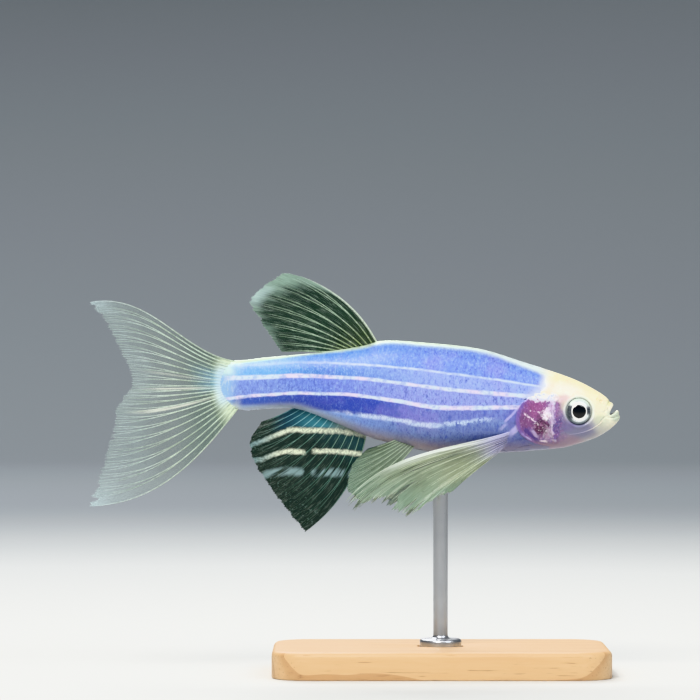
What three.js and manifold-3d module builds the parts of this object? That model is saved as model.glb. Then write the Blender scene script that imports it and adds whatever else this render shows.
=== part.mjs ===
// A long-finned zebra danio, life size, as a still display model on a small stand.
// Millimetres, +Z up, +X towards the fish's nose, +Y its left side. The origin is the centre of the
// underside of the stand's base. The fish is shaped in a frame of its own, with its origin at the root
// of the tail fin and x running forward along the body, 38 mm to the tip of the lower jaw. It is then
// tipped nose down and set over the rod.

import * as THREE from "three";
import { mergeVertices } from "three/addons/utils/BufferGeometryUtils.js";
import Module from "manifold-3d";

const wasm = await Module();
wasm.setup();

// Driving dimensions
const GAP = 0.3; // between two pieces that touch
const NOSE_DOWN = THREE.MathUtils.degToRad(4);
const ROD_STATION = 21.2; // where along the fish the rod meets the belly
const BELLY_HEIGHT = 20.97; // of the belly there, over the floor
const NOSE = 38.05; // the tip of the lower jaw
const FIN_THICK = 0.5; // a fin's membrane
const FIN_ROOT_THICK = 0.8; // where it grows from the body
const FIN_EDGE_THICK = 0.3; // at its margin
const RAY_RIDGE = 0.32; // what a ray adds to the thickness, on both faces together
const RAY_SHARE = 0.28; // half a ridge's width, as a share of the spacing of the rays
const MARGIN_NOTCH = 0.025; // the membrane's margin stands back between the rays, as a share of their length
const EYE_CENTRE = [34.15, 1.26, -0.29];
const EYE_RADIUS = 1.28;
const EYE_HALF_DEPTH = 0.62; // the eyeball is flattened from side to side
const BARBEL_RADIUS = 0.25;
const BARBEL_TIP_RADIUS = 0.12;
const LIP_RADIUS = 0.17;
const COVER_THICK = 0.5; // a gill cover
const COVER_BULGE = 0.1; // how far it stands out of the head
const COVER_FRONT = 31.5; // its front edge
const COVER_TOP = THREE.MathUtils.degToRad(20);
const COVER_BOTTOM = THREE.MathUtils.degToRad(-56);
const HEAD_END = 30.8; // where the head ends on the nape
const HEAD_LOBE = 2.8; // how far the head reaches back at the gill covers
const TRUNK_END = 6.9;
const BASE = { length: 32, width: 18, height: 2.6, corner: 3.5, bevel: 0.5 };
const ROD_RADIUS = 0.7;
const FLANGE = { radius: 2, height: 0.7, sunk: 0.6, bevel: 0.3 }; // the rod's foot

// Outlines in the fish's own frame: [x, value] pairs
const back = through([
  [-1, 2.1], [1.6, 2.31], [5.3, 2.86], [9.1, 3.55], [12.9, 4.44], [15, 5.12], [18.6, 5.22],
  [24.3, 4.98], [28.2, 4.07], [32.1, 3.15], [34.1, 2.5], [35.6, 1.84], [36.5, 1.35], [37, 0.9],
  [37.3, 0.55], [37.7, 0.1], [37.95, -0.2], [38.05, -0.45],
]);
const belly = through([
  [-1, -2.2], [1.9, -2.35], [5.7, -1.92], [7.6, -1.92], [11.5, -3.12], [14.4, -4.12], [17.3, -4.64],
  [21.2, -5.16], [26.9, -4.67], [32.6, -3.89], [34.5, -3.32], [36.3, -2.53], [37.2, -1.7],
  [37.9, -0.9], [38.05, -0.55],
]);
const halfWidth = through([
  [-1, 0.55], [0.5, 0.72], [3, 0.95], [7, 1.35], [11, 1.85], [16, 2.5], [21.5, 2.8], [26, 2.7],
  [30, 2.42], [33, 1.98], [35, 1.54], [36.3, 1.15], [37.1, 0.86], [37.7, 0.52], [38.05, 0.05],
]);
const SQUARENESS = 2.15; // 2 is an ellipse

// A smooth function through [x, value] pairs: cubic stretches with the neighbours' slopes.
function through(points) {
  const slope = (i) => {
    const a = points[Math.max(i - 1, 0)];
    const b = points[Math.min(i + 1, points.length - 1)];
    return (b[1] - a[1]) / (b[0] - a[0]);
  };
  return (x) => {
    const i = Math.min(Math.max(points.findIndex((p) => p[0] > x) - 1, 0), points.length - 2);
    const k = x >= points.at(-1)[0] ? points.length - 2 : i;
    const [x0, v0] = points[k];
    const [x1, v1] = points[k + 1];
    const t = (x - x0) / (x1 - x0);
    const m0 = slope(k) * (x1 - x0);
    const m1 = slope(k + 1) * (x1 - x0);
    const t2 = t * t;
    const t3 = t2 * t;
    return (2 * t3 - 3 * t2 + 1) * v0 + (t3 - 2 * t2 + t) * m0 + (3 * t2 - 2 * t3) * v1 + (t3 - t2) * m1;
  };
}

const power = (value, exponent) => Math.sign(value) * Math.abs(value) ** exponent;

// A point of the body's surface at station x. The angle is 90 degrees on the back, 0 on the left side,
// -90 on the belly and 180 on the right side. Lift moves it out of the surface, across the body.
function skin(x, angle, lift = 0) {
  const at = (a) => {
    const low = belly(x);
    const high = back(x);
    return new THREE.Vector3(
      x,
      halfWidth(x) * power(Math.cos(a), 2 / SQUARENESS),
      (high + low) / 2 + ((high - low) / 2) * power(Math.sin(a), 2 / SQUARENESS),
    );
  };
  const point = at(angle);
  if (lift) {
    const along = at(angle + 0.02).sub(at(angle - 0.02)).normalize();
    point.add(new THREE.Vector3(0, along.z, -along.y).multiplyScalar(lift));
  }
  return point;
}

// How far the skin stands out to the side at station x and height z.
function sideAt(x, z) {
  const level = (back(x) + belly(x)) / 2;
  const share = Math.min(Math.abs(z - level) / ((back(x) - belly(x)) / 2), 1);
  return halfWidth(x) * (1 - share ** SQUARENESS) ** (1 / SQUARENESS);
}

// One closed mesh from a list of points and a list of triangles.
function meshOf(points, triangles) {
  const geometry = new THREE.BufferGeometry();
  geometry.setAttribute("position", new THREE.Float32BufferAttribute(points.flatMap((p) => p.toArray()), 3));
  geometry.setIndex(triangles.flat());
  return geometry;
}

// A body length: rings of skin between two ends, each end a function of the angle, closed by ladders
// of rungs that run straight across from the left side to the right.
function bodyLength(rear, front, { rings, around, pointed = false, spacing = (t) => t }) {
  const points = [];
  const triangles = [];
  const quad = (a, b, c, d) => triangles.push([a, b, c], [a, c, d]);
  const angleOf = (j) => Math.PI / 2 - (2 * Math.PI * j) / around;
  for (let i = 0; i < rings; i++) {
    const t = spacing(i / (rings - 1));
    for (let j = 0; j < around; j++) {
      const angle = angleOf(j);
      points.push(skin(rear(angle) + (front(angle) - rear(angle)) * t, angle));
    }
  }
  for (let i = 0; i + 1 < rings; i++) {
    for (let j = 0; j < around; j++) {
      const k = (j + 1) % around;
      quad(i * around + j, (i + 1) * around + j, (i + 1) * around + k, i * around + k);
    }
  }
  const ladder = (ring, facesFront) => {
    const rung = (a, b, c) => triangles.push(facesFront ? [a, b, c] : [a, c, b]);
    const left = (j) => ring * around + j;
    const right = (j) => ring * around + ((around - j) % around);
    for (let j = 0; j < around / 2; j++) {
      if (j > 0) rung(left(j), right(j), left(j + 1));
      if (j + 1 < around / 2) rung(left(j + 1), right(j), right(j + 1));
    }
  };
  ladder(0, false);
  if (pointed) {
    const tip = points.length;
    points.push(new THREE.Vector3(front(0), 0, (back(front(0)) + belly(front(0))) / 2));
    const last = (rings - 1) * around;
    for (let j = 0; j < around; j++) triangles.push([last + j, tip, last + ((j + 1) % around)]);
  } else ladder(rings - 1, true);
  return meshOf(points, triangles);
}

// A closed sheet over a grid of middle points, with half its thickness laid to each side along the
// grid's own normal. Both faces have the same triangles.
function sheet(columns, rows, middle, thickness) {
  const points = [];
  const triangles = [];
  const step = 1e-3;
  for (const side of [1, -1]) {
    for (const u of columns) {
      for (const t of rows) {
        const across = middle(u + step, t).sub(middle(u - step, t));
        const out = middle(u, t + step).sub(middle(u, t - step));
        const normal = across.cross(out).normalize();
        points.push(middle(u, t).addScaledVector(normal, (side * thickness(u, t)) / 2));
      }
    }
  }
  const wide = columns.length;
  const long = rows.length;
  const index = (face, i, j) => face * wide * long + i * long + j;
  for (let i = 0; i + 1 < wide; i++) {
    for (let j = 0; j + 1 < long; j++) {
      const [a, b, c, d] = [index(0, i, j), index(0, i + 1, j), index(0, i + 1, j + 1), index(0, i, j + 1)];
      const away = wide * long;
      triangles.push([a, b, c], [a, c, d], [a + away, c + away, b + away], [a + away, d + away, c + away]);
    }
  }
  const rim = [];
  for (let i = 0; i < wide; i++) rim.push([i, 0]);
  for (let j = 1; j < long; j++) rim.push([wide - 1, j]);
  for (let i = wide - 2; i >= 0; i--) rim.push([i, long - 1]);
  for (let j = long - 2; j > 0; j--) rim.push([0, j]);
  rim.forEach(([i, j], k) => {
    const [m, n] = rim[(k + 1) % rim.length];
    const [a, b, c, d] = [index(0, i, j), index(1, i, j), index(1, m, n), index(0, m, n)];
    triangles.push([a, b, c], [a, c, d]);
  });
  return meshOf(points, triangles);
}

// A fin. Root and margin give the ends of the ray at share u of the way from the leading edge to the
// last ray. Each ray is a cubic curve that bows towards the leading edge by the shares in bow at a
// third and two thirds of its length, and sway moves it along the plane's normal. The rays stand out of
// the membrane as ridges on both faces, and run a little past its margin.
function fin({ root, margin, bow, rays, plane = new THREE.Vector3(0, 1, 0), sway = () => 0 }) {
  const crest = (u) => (1 + Math.cos(2 * Math.PI * u * (rays - 1))) / 2;
  const middle = (u, t) => {
    const from = root(u);
    const chord = margin(u).sub(from).multiplyScalar(1 - MARGIN_NOTCH * (1 - crest(u)));
    const forward = chord.clone().cross(plane).normalize().multiplyScalar(chord.length());
    if (forward.dot(root(0).sub(root(1))) < 0) forward.negate();
    const [b1, b2] = bow(u);
    const s = 1 - t;
    const lift = 3 * s * s * t * b1 + 3 * s * t * t * b2;
    return from.addScaledVector(chord, t).addScaledVector(forward, lift).addScaledVector(plane, sway(u, t));
  };
  const thickness = (u, t) => {
    const membrane = t < 1 ? lerp(FIN_ROOT_THICK, FIN_THICK, Math.min(t / 0.3, 1)) : FIN_EDGE_THICK;
    const onRay = crest(u) > 0.99;
    return membrane + (onRay ? RAY_RIDGE * (1 - t * t * 0.6) * Math.min(t / 0.1, 1) : 0);
  };
  const columns = [0];
  for (let i = 0; i + 1 < rays; i++) columns.push(i + RAY_SHARE, i + 1 - RAY_SHARE, i + 1);
  const rows = [0, 0.13, 0.32, 0.53, 0.74, 0.92, 1];
  return sheet(columns.map((c) => c / (rays - 1)), rows, middle, thickness);
}

const spline = (points) => {
  const curve = new THREE.CatmullRomCurve3(points.map((p) => new THREE.Vector3(...p)));
  return (u) => curve.getPoint(Math.min(Math.max(u, 0), 1));
};
const flatSpline = (points) => spline(points.map(([x, z]) => [x, 0, z]));
const lerp = THREE.MathUtils.lerp;
const evenly = (count) => Array.from({ length: count }, (_, i) => i / (count - 1));
const between = (a, b) => (u) => [lerp(a[0], b[0], u), lerp(a[1], b[1], u)];

const solidOf = (geometry) => {
  const plain = geometry.index ? geometry.toNonIndexed() : geometry.clone();
  plain.deleteAttribute("normal");
  plain.deleteAttribute("uv");
  const merged = mergeVertices(plain, 1e-4);
  return new wasm.Manifold(
    new wasm.Mesh({
      numProp: 3,
      vertProperties: merged.attributes.position.array,
      triVerts: new Uint32Array(merged.index.array),
    }),
  );
};

// The largest closed surface of a solid, as a mesh.
const largest = (solid) => {
  const pieces = solid.decompose().sort((a, b) => b.volume() - a.volume());
  const { vertProperties, triVerts } = pieces[0].getMesh();
  const geometry = new THREE.BufferGeometry();
  geometry.setAttribute("position", new THREE.BufferAttribute(vertProperties, 3));
  geometry.setIndex(new THREE.BufferAttribute(triVerts, 1));
  return geometry;
};

// The joint between head and trunk: a line that runs back round each gill cover.
const LOBE_CENTRE = THREE.MathUtils.degToRad(-18);
const LOBE_REACH = THREE.MathUtils.degToRad(42);
const foldedAngle = (angle) => Math.asin(Math.sin(angle)); // the same on both sides
const headEnd = (angle) => {
  const share = Math.abs(foldedAngle(angle) - LOBE_CENTRE) / LOBE_REACH;
  return HEAD_END - HEAD_LOBE * Math.max(0, 1 - share ** 2.5);
};

// The tail's end is rounded, and lies further forward below, where small rays run along its edge.
const TAIL_END = { middle: -0.3, above: 0.9, below: 1.5 };
const tailEnd = (angle) => {
  const height = Math.sin(angle);
  return TAIL_END.middle + (height > 0 ? TAIL_END.above : TAIL_END.below) * height * height;
};

function ellipsoid([x, y, z], [rx, ry, rz], across = 18, down = 10) {
  const ball = new THREE.SphereGeometry(1, across, down);
  ball.scale(rx, ry, rz);
  ball.translate(x, y, z);
  return ball;
}

function eyeball(side, grow = 0) {
  const [x, y, z] = EYE_CENTRE;
  const across = EYE_RADIUS + grow;
  return ellipsoid([x, side * y, z], [across, EYE_HALF_DEPTH + grow, across]);
}

// A gill cover, from its front edge to the head's end, or with grow the pocket that it lies in, which is
// that much larger and open to the outside and to the rear.
function gillCover(side, grow = 0) {
  const outer = grow ? 1 : COVER_BULGE;
  const inner = COVER_BULGE - COVER_THICK - grow;
  const turn = grow / halfWidth(COVER_FRONT);
  const middle = (u, t) => {
    const angle = lerp(COVER_TOP + turn, COVER_BOTTOM - turn, u);
    const rear = headEnd(angle) + GAP - 4 * grow;
    const front = COVER_FRONT + 0.4 * (2 * u - 0.9) ** 2 + grow;
    const point = skin(lerp(rear, front, t), angle, (outer + inner) / 2);
    point.y *= side;
    return point;
  };
  return sheet(evenly(9), evenly(7), middle, () => outer - inner);
}

// The open mouth and the line of it that runs down and back along the cheek, cut straight across.
function mouthCut() {
  const outline = new THREE.Shape(
    [
      [38.4, 0.1], [37.76, 0.01], [37.38, -0.11], [37.11, -0.32], [36.5, -0.86], [36.15, -1.12],
      [36.05, -0.95], [36.35, -0.62], [36.92, -0.2], [37.1, 0.15], [37.34, 0.62], [38.4, 1.2],
    ].map(([x, z]) => new THREE.Vector2(x, z)),
  );
  const cut = new THREE.ExtrudeGeometry(outline, { depth: 6, bevelEnabled: false });
  cut.rotateX(Math.PI / 2);
  cut.translate(0, 3, 0);
  return cut;
}

// A lip: a thread along the rim of one jaw, from the right corner of the mouth round to the left.
function lip(rim) {
  const right = rim.map(([x, z]) => [x, -sideAt(x, z), z]);
  const left = rim.slice(0, -1).reverse().map(([x, z]) => [x, sideAt(x, z), z]);
  right[right.length - 1][1] = 0;
  return thread([...right, ...left], LIP_RADIUS, LIP_RADIUS, 6, 16);
}
const UPPER_RIM = [[36.35, -0.5], [36.8, -0.1], [37.05, 0.3], [37.14, 0.52]];
const LOWER_RIM = [[36.45, -0.95], [37.1, -0.45], [37.45, -0.2], [37.74, -0.08]];

// Two nostril pits on each side, one close behind the other.
const nostril = (side) =>
  [[36.05, 0.86, 0.17], [35.72, 1.0, 0.14]].map(([x, z, radius]) =>
    ellipsoid([x, side * sideAt(x, z), z], [radius, radius, radius], 8, 6),
  );

function headShape() {
  const closer = (t) => 0.995 * Math.sin((t * Math.PI) / 2) ** 0.9; // rings crowd towards the nose
  const whole = bodyLength(
    (angle) => headEnd(angle) + GAP,
    () => NOSE,
    { rings: 20, around: 28, pointed: true, spacing: closer },
  );
  let head = solidOf(whole).subtract(solidOf(mouthCut()));
  for (const rim of [UPPER_RIM, LOWER_RIM]) head = head.add(solidOf(lip(rim)));
  for (const side of [1, -1]) {
    for (const pit of nostril(side)) head = head.subtract(solidOf(pit));
    head = head.subtract(solidOf(eyeball(side, GAP)));
    head = head.subtract(solidOf(gillCover(side, GAP)));
  }
  return largest(head);
}

// The pectoral fins, long fans that trail down and back from just behind the gill covers. The left one
// is lowered a little more.
const LEFT_DROOP = THREE.MathUtils.degToRad(2);
function pectoralFin(side, droop) {
  const root = (u) => {
    const angle = THREE.MathUtils.degToRad(lerp(-30, -64, u));
    const point = skin(lerp(27.5, 26.9, u), angle, GAP + FIN_ROOT_THICK / 2);
    point.y *= side;
    return point;
  };
  const pivot = root(0.5);
  const tips = [
    [12.5, 5.0, -10.4], [13.0, 5.0, -11.5], [15.4, 4.9, -10.2], [17.0, 4.8, -10.9], [18.5, 4.6, -11.2],
    [20.3, 4.3, -9.8], [22.3, 3.7, -8.8],
  ].map(([x, y, z]) => {
    const from = new THREE.Vector3(x, side * y, z).sub(pivot);
    return from.applyAxisAngle(new THREE.Vector3(0, 1, 0), -droop).add(pivot).toArray();
  });
  const plane = new THREE.Vector3(0.25, side, 0.1).normalize();
  return fin({
    root,
    margin: spline(tips),
    bow: between([0.05, 0.06], [0.02, 0.02]),
    rays: 11,
    plane,
    sway: (u, t) => 0.25 * t * Math.sin(2 * Math.PI * 1.5 * u) - 0.4 * t * (1 - t),
  });
}

function pelvicFin(side) {
  const root = (u) => {
    const angle = THREE.MathUtils.degToRad(lerp(-72, -66, u));
    const point = skin(lerp(18.8, 17.2, u), angle, GAP + FIN_ROOT_THICK / 2);
    point.y *= side;
    return point;
  };
  const tips = [
    [13.6, 2.6, -10.2], [12.5, 2.5, -9.3], [12.5, 2.4, -8.0], [12.9, 2.3, -6.6], [14.2, 2.1, -5.3],
  ].map(([x, y, z]) => [x, side * y, z]);
  return fin({
    root,
    margin: spline(tips),
    bow: between([0.04, 0.05], [0.03, 0.02]),
    rays: 8,
    plane: new THREE.Vector3(0.1, side, 0.05).normalize(),
    sway: (u, t) => 0.12 * t * Math.sin(2 * Math.PI * u),
  });
}

const onBack = (x) => new THREE.Vector3(x, 0, back(x) + GAP);
const onBelly = (x) => new THREE.Vector3(x, 0, belly(x) - GAP);

const dorsalFin = () =>
  fin({
    root: (u) => onBack(lerp(14.5, 10.9, u)),
    margin: flatSpline([[5.26, 10.88], [3.3, 9.6], [2.15, 8.1], [2.9, 6.6], [4.2, 4.9], [5.9, 3.5]]),
    bow: between([0.15, 0.14], [0.02, 0.02]),
    rays: 10,
    sway: (u, t) => 0.3 * t * t * Math.sin(2 * Math.PI * u + 0.6),
  });

const analFin = () =>
  fin({
    root: (u) => onBelly(lerp(14.0, 7.3, u)),
    margin: flatSpline([[8.79, -13.58], [6.9, -11.7], [5.2, -9.6], [3.6, -7.5], [2.95, -5.4], [3.9, -3.4]]),
    bow: between([0.135, 0.135], [0.05, 0.03]),
    rays: 14,
    sway: (u, t) => 0.3 * t * t * Math.sin(2 * Math.PI * u),
  });

const FORK = { x: -8.8, z: -0.68, rootZ: -0.2 }; // the gap between the tail fin's two lobes
const caudalRoot = (top, bottom) => (u) => {
  const z = lerp(top, bottom, u);
  const share = z > 0 ? z / 2.3 : z / 2.4;
  const x = TAIL_END.middle + (z > 0 ? TAIL_END.above : TAIL_END.below) * share * share - GAP;
  return new THREE.Vector3(x, 0, z);
};
const tailSway = (u, t) => 0.9 * t * t;
const upperTailFin = () =>
  fin({
    root: caudalRoot(2.2, FORK.rootZ + GAP / 2),
    margin: flatSpline([
      [-13.57, 6.75], [-12.05, 5.5], [-11.1, 4.0], [-10.2, 2.4], [-9.25, 0.9], [FORK.x, FORK.z + GAP / 2],
    ]),
    bow: between([-0.06, 0.23], [0, 0]),
    rays: 10,
    sway: tailSway,
  });
const lowerTailFin = () =>
  fin({
    root: caudalRoot(-2.4, FORK.rootZ - GAP / 2),
    margin: flatSpline([
      [-12.2, -12.6], [-11.4, -9.9], [-10.8, -7.4], [-10.4, -5.1], [-10.1, -3.1], [-9.4, -1.8],
      [FORK.x, FORK.z - GAP / 2],
    ]),
    bow: between([0.12, 0.21], [0, 0]),
    rays: 10,
    sway: tailSway,
  });

// A thin tapering thread along a curve, round in section, with a blunt root and a fine tip.
function thread(points, rootRadius, tipRadius, sides = 6, steps = 8) {
  const curve = new THREE.CatmullRomCurve3(points.map((p) => new THREE.Vector3(...p)));
  const frames = curve.computeFrenetFrames(steps);
  const rings = [];
  for (let i = 0; i <= steps; i++) {
    const radius = lerp(rootRadius, tipRadius, i / steps);
    for (let j = 0; j < sides; j++) {
      const angle = (2 * Math.PI * j) / sides;
      const centre = curve.getPoint(i / steps);
      centre.addScaledVector(frames.normals[i], radius * Math.cos(angle));
      rings.push(centre.addScaledVector(frames.binormals[i], radius * Math.sin(angle)));
    }
  }
  const triangles = [];
  for (let i = 0; i < steps; i++) {
    for (let j = 0; j < sides; j++) {
      const k = (j + 1) % sides;
      const [a, b] = [i * sides + j, i * sides + k];
      triangles.push([a, b, b + sides], [a, b + sides, a + sides]);
    }
  }
  rings.push(curve.getPoint(0), curve.getPoint(1));
  for (let j = 0; j < sides; j++) {
    const k = (j + 1) % sides;
    triangles.push([rings.length - 2, k, j], [rings.length - 1, steps * sides + j, steps * sides + k]);
  }
  return meshOf(rings, triangles);
}

// Barbels: a short pair beside the upper lip, and a longer pair from the corners of the mouth that lies
// back along the cheek.
const beside = (side, x, z, off) => [x, side * (sideAt(x, z) + off), z];
const rostralBarbel = (side) =>
  thread(
    [beside(side, 36.6, 0.3, 0.56), beside(side, 36.2, -0.1, 0.75), beside(side, 35.7, -0.2, 0.7)],
    BARBEL_RADIUS,
    BARBEL_TIP_RADIUS,
  );
const maxillaryBarbel = (side) =>
  thread(
    [
      beside(side, 36.0, -1.35, 0.6), beside(side, 35.2, -1.9, 0.8), beside(side, 34.2, -2.3, 0.75),
      beside(side, 33.2, -2.5, 0.7),
    ],
    BARBEL_RADIUS,
    BARBEL_TIP_RADIUS,
  );

// The stand: a rounded block with a bevelled top edge, and a rod on a round foot.
function standBase() {
  const ring = (inset, z) => {
    const points = [];
    const { length, width, corner } = BASE;
    for (const [sx, sy, from] of [[1, 1, 0], [-1, 1, 90], [-1, -1, 180], [1, -1, 270]]) {
      for (let k = 0; k <= 6; k++) {
        const angle = THREE.MathUtils.degToRad(from + 15 * k);
        points.push(
          new THREE.Vector3(
            sx * (length / 2 - corner) + (corner - inset) * Math.cos(angle),
            sy * (width / 2 - corner) + (corner - inset) * Math.sin(angle),
            z,
          ),
        );
      }
    }
    return points;
  };
  const { height, bevel } = BASE;
  const rings = [ring(0, 0), ring(0, height - bevel), ring(bevel * 0.3, height - bevel * 0.3), ring(bevel, height)];
  const around = rings[0].length;
  const triangles = [];
  for (let i = 0; i + 1 < rings.length; i++) {
    for (let j = 0; j < around; j++) {
      const k = (j + 1) % around;
      const [a, b] = [i * around + j, i * around + k];
      triangles.push([a, b, b + around], [a, b + around, a + around]);
    }
  }
  const last = (rings.length - 1) * around;
  for (let j = 1; j + 1 < around; j++) triangles.push([0, j + 1, j], [last, last + j, last + j + 1]);
  const recess = new THREE.CylinderGeometry(FLANGE.radius + GAP, FLANGE.radius + GAP, 2 * FLANGE.sunk, 24);
  recess.rotateX(Math.PI / 2);
  recess.translate(0, 0, height);
  return largest(solidOf(meshOf(rings.flat(), triangles)).subtract(solidOf(recess)));
}

function standRod() {
  const foot = BASE.height - FLANGE.sunk + GAP;
  const shoulder = BASE.height + FLANGE.height;
  const top = BELLY_HEIGHT - GAP;
  const { radius, bevel } = FLANGE;
  const profile = [
    [0, foot], [radius, foot], [radius, shoulder - bevel], [radius - bevel, shoulder],
    [ROD_RADIUS + bevel, shoulder], [ROD_RADIUS, shoulder + bevel], [ROD_RADIUS, top], [0, top],
  ].map(([r, z]) => new THREE.Vector2(r, z));
  const rod = new THREE.LatheGeometry(profile, 24);
  rod.rotateX(Math.PI / 2);
  return rod;
}

const material = (color, roughness, metalness = 0, opacity = 1) =>
  new THREE.MeshStandardMaterial({ color, roughness, metalness, opacity, transparent: opacity < 1 });
const FLANK = material(0x8faaf0, 0.35);
const SNOUT = material(0xf6f3d4, 0.4);
const COVER = material(0xa069a0, 0.35);
const EYE = material(0xc8ccd2, 0.15);
const FIN = material(0x9fc0a8, 0.4, 0, 0.6);
const DARK_FIN = material(0x2f6a70, 0.4, 0, 0.7);
const PALE_FIN = material(0x9aa890, 0.4, 0, 0.9);
const MAPLE = material(0xcfa875, 0.55);
const STEEL = material(0xb9bcc0, 0.3, 1);

const part = new THREE.Group();
const fish = new THREE.Group();
fish.rotation.y = NOSE_DOWN;
const held = new THREE.Vector3(ROD_STATION, 0, belly(ROD_STATION)).applyEuler(fish.rotation);
fish.position.set(-held.x, 0, BELLY_HEIGHT - held.z);
part.add(fish);

function add(group, name, geometry, finish) {
  const mesh = new THREE.Mesh(geometry, finish);
  mesh.name = name;
  group.add(mesh);
}

add(fish, "head", headShape(), SNOUT);
add(
  fish,
  "trunk",
  bodyLength(() => TRUNK_END + GAP, headEnd, { rings: 22, around: 28 }),
  FLANK,
);
add(fish, "tail", bodyLength(tailEnd, () => TRUNK_END, { rings: 9, around: 24 }), FLANK);
for (const [word, side] of [["left", 1], ["right", -1]]) {
  add(fish, `gill_cover_${word}`, gillCover(side), COVER);
  add(fish, `eye_${word}`, eyeball(side), EYE);
  add(fish, `pectoral_fin_${word}`, pectoralFin(side, side > 0 ? LEFT_DROOP : 0), PALE_FIN);
  add(fish, `pelvic_fin_${word}`, pelvicFin(side), FIN);
  add(fish, `rostral_barbel_${word}`, rostralBarbel(side), SNOUT);
  add(fish, `maxillary_barbel_${word}`, maxillaryBarbel(side), SNOUT);
}
add(fish, "dorsal_fin", dorsalFin(), FIN);
add(fish, "anal_fin", analFin(), DARK_FIN);
add(fish, "caudal_fin_upper", upperTailFin(), FIN);
add(fish, "caudal_fin_lower", lowerTailFin(), FIN);
add(part, "stand_base", standBase(), MAPLE);
add(part, "stand_rod", standRod(), STEEL);

export default part;
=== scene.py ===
import math

import bpy
import mathutils
import numpy as np
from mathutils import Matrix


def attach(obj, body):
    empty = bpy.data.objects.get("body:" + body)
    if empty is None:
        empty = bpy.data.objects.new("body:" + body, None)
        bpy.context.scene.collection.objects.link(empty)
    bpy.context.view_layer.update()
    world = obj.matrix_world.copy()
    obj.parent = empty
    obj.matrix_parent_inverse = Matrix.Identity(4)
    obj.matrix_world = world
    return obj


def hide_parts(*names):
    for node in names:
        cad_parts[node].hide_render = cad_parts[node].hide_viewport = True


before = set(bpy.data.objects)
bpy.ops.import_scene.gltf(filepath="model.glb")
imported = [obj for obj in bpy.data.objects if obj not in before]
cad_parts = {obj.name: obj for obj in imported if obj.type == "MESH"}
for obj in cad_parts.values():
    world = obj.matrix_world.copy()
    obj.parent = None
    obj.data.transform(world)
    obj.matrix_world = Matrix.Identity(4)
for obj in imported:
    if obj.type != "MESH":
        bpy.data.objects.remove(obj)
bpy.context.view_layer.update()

# The camera stands level with the fish on its right side, far off behind a long lens, so that the
# view is almost a drawing's side view. The floor lies low in the picture, under the stand.
MM = 0.001
LENS = 200.0
SENSOR = 36.0
VIEW_WIDTH = 66.75  # mm across the picture, at the fish
VIEW_MIDDLE = (-8.63, 30.8)  # mm along the fish and above the floor
camera = bpy.data.objects.new("camera", bpy.data.cameras.new("camera"))
camera.data.lens = LENS
camera.data.sensor_width = SENSOR
camera.data.clip_start = 0.01
camera.location = (VIEW_MIDDLE[0] * MM, -VIEW_WIDTH * LENS / SENSOR * MM, VIEW_MIDDLE[1] * MM)
camera.rotation_euler = (math.pi / 2, 0, 0)
bpy.context.scene.collection.objects.link(camera)
bpy.context.scene.camera = camera

# The stand's base is a small block of maple with rounded corners. Its edges are eased with fine
# paper before oiling, and a round recess in its top takes the foot of the rod.
BASE_LENGTH = 32.0
BASE_WIDTH = 18.0
BASE_HEIGHT = 2.6
BASE_CORNER = 3.5
BASE_BEVEL = 0.5
BASE_ARRIS = 0.12  # the easing of its sharp edges
RECESS_RADIUS = 2.3
RECESS_DEPTH = 0.3
CORNER_STEPS = 13
STAND_CREASE = 50  # degrees; an edge of the stand that turns more is sharp


def lattice(rows, columns, wrap=False):
    """Four-cornered faces of a grid of points numbered row by row. With wrap, the last column joins
    the first."""
    i, j = np.meshgrid(np.arange(rows - 1), np.arange(columns if wrap else columns - 1), indexing="ij")
    k = (j + 1) % columns
    corners = [i * columns + j, i * columns + k, (i + 1) * columns + k, (i + 1) * columns + j]
    return np.stack(corners, axis=-1).reshape(-1, 4)


def unit(vectors):
    """The same directions, each with a length of 1."""
    return vectors / np.linalg.norm(vectors, axis=-1, keepdims=True)


def fan(ring, pole):
    """Three-cornered faces from each side of a closed ring of point numbers to one pole."""
    return np.stack([ring, np.roll(ring, -1), np.full(len(ring), pole)], axis=-1)


def closed(rings, start, end):
    """The points, quads and triangles of a shape made of rings, each joined to the next, with a fan
    at each end to its pole."""
    around = np.arange(len(rings[0]))
    count = len(rings) * len(around)
    caps = [fan(around[::-1], count), fan(around + count - len(around), count + 1)]
    points = np.concatenate([*rings, [start, end]])
    return points, lattice(len(rings), len(around), wrap=True), np.concatenate(caps)


def mesh_piece(name, points, quads, triangles=np.zeros((0, 3), int), crease=75):
    """A smooth mesh object from points in mm and its faces, with a sharp edge where two faces meet at
    more than the crease, in degrees. The faces are turned over if they enclose less than nothing."""
    halves = np.concatenate([quads[:, [0, 1, 2]], quads[:, [0, 2, 3]], triangles])
    a, b, c = (points[halves[:, k]] for k in range(3))
    if np.sum(a * np.cross(b, c)) < 0:
        quads = quads[:, ::-1]
        triangles = triangles[:, ::-1]
    mesh = bpy.data.meshes.new(name)
    mesh.vertices.add(len(points))
    mesh.vertices.foreach_set("co", (points * MM).astype(np.float32).ravel())
    corners = np.concatenate([quads.ravel(), triangles.ravel()]).astype(np.int32)
    sizes = np.concatenate([np.full(len(quads), 4), np.full(len(triangles), 3)])
    mesh.loops.add(len(corners))
    mesh.loops.foreach_set("vertex_index", corners)
    mesh.polygons.add(len(sizes))
    mesh.polygons.foreach_set("loop_start", (np.cumsum(sizes) - sizes).astype(np.int32))
    mesh.polygons.foreach_set("use_smooth", np.ones(len(sizes), bool))
    mesh.update(calc_edges=True)
    mesh.validate()
    mesh.set_sharp_from_angle(angle=math.radians(crease))
    thing = bpy.data.objects.new(name, mesh)
    bpy.context.scene.collection.objects.link(thing)
    return thing


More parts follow.
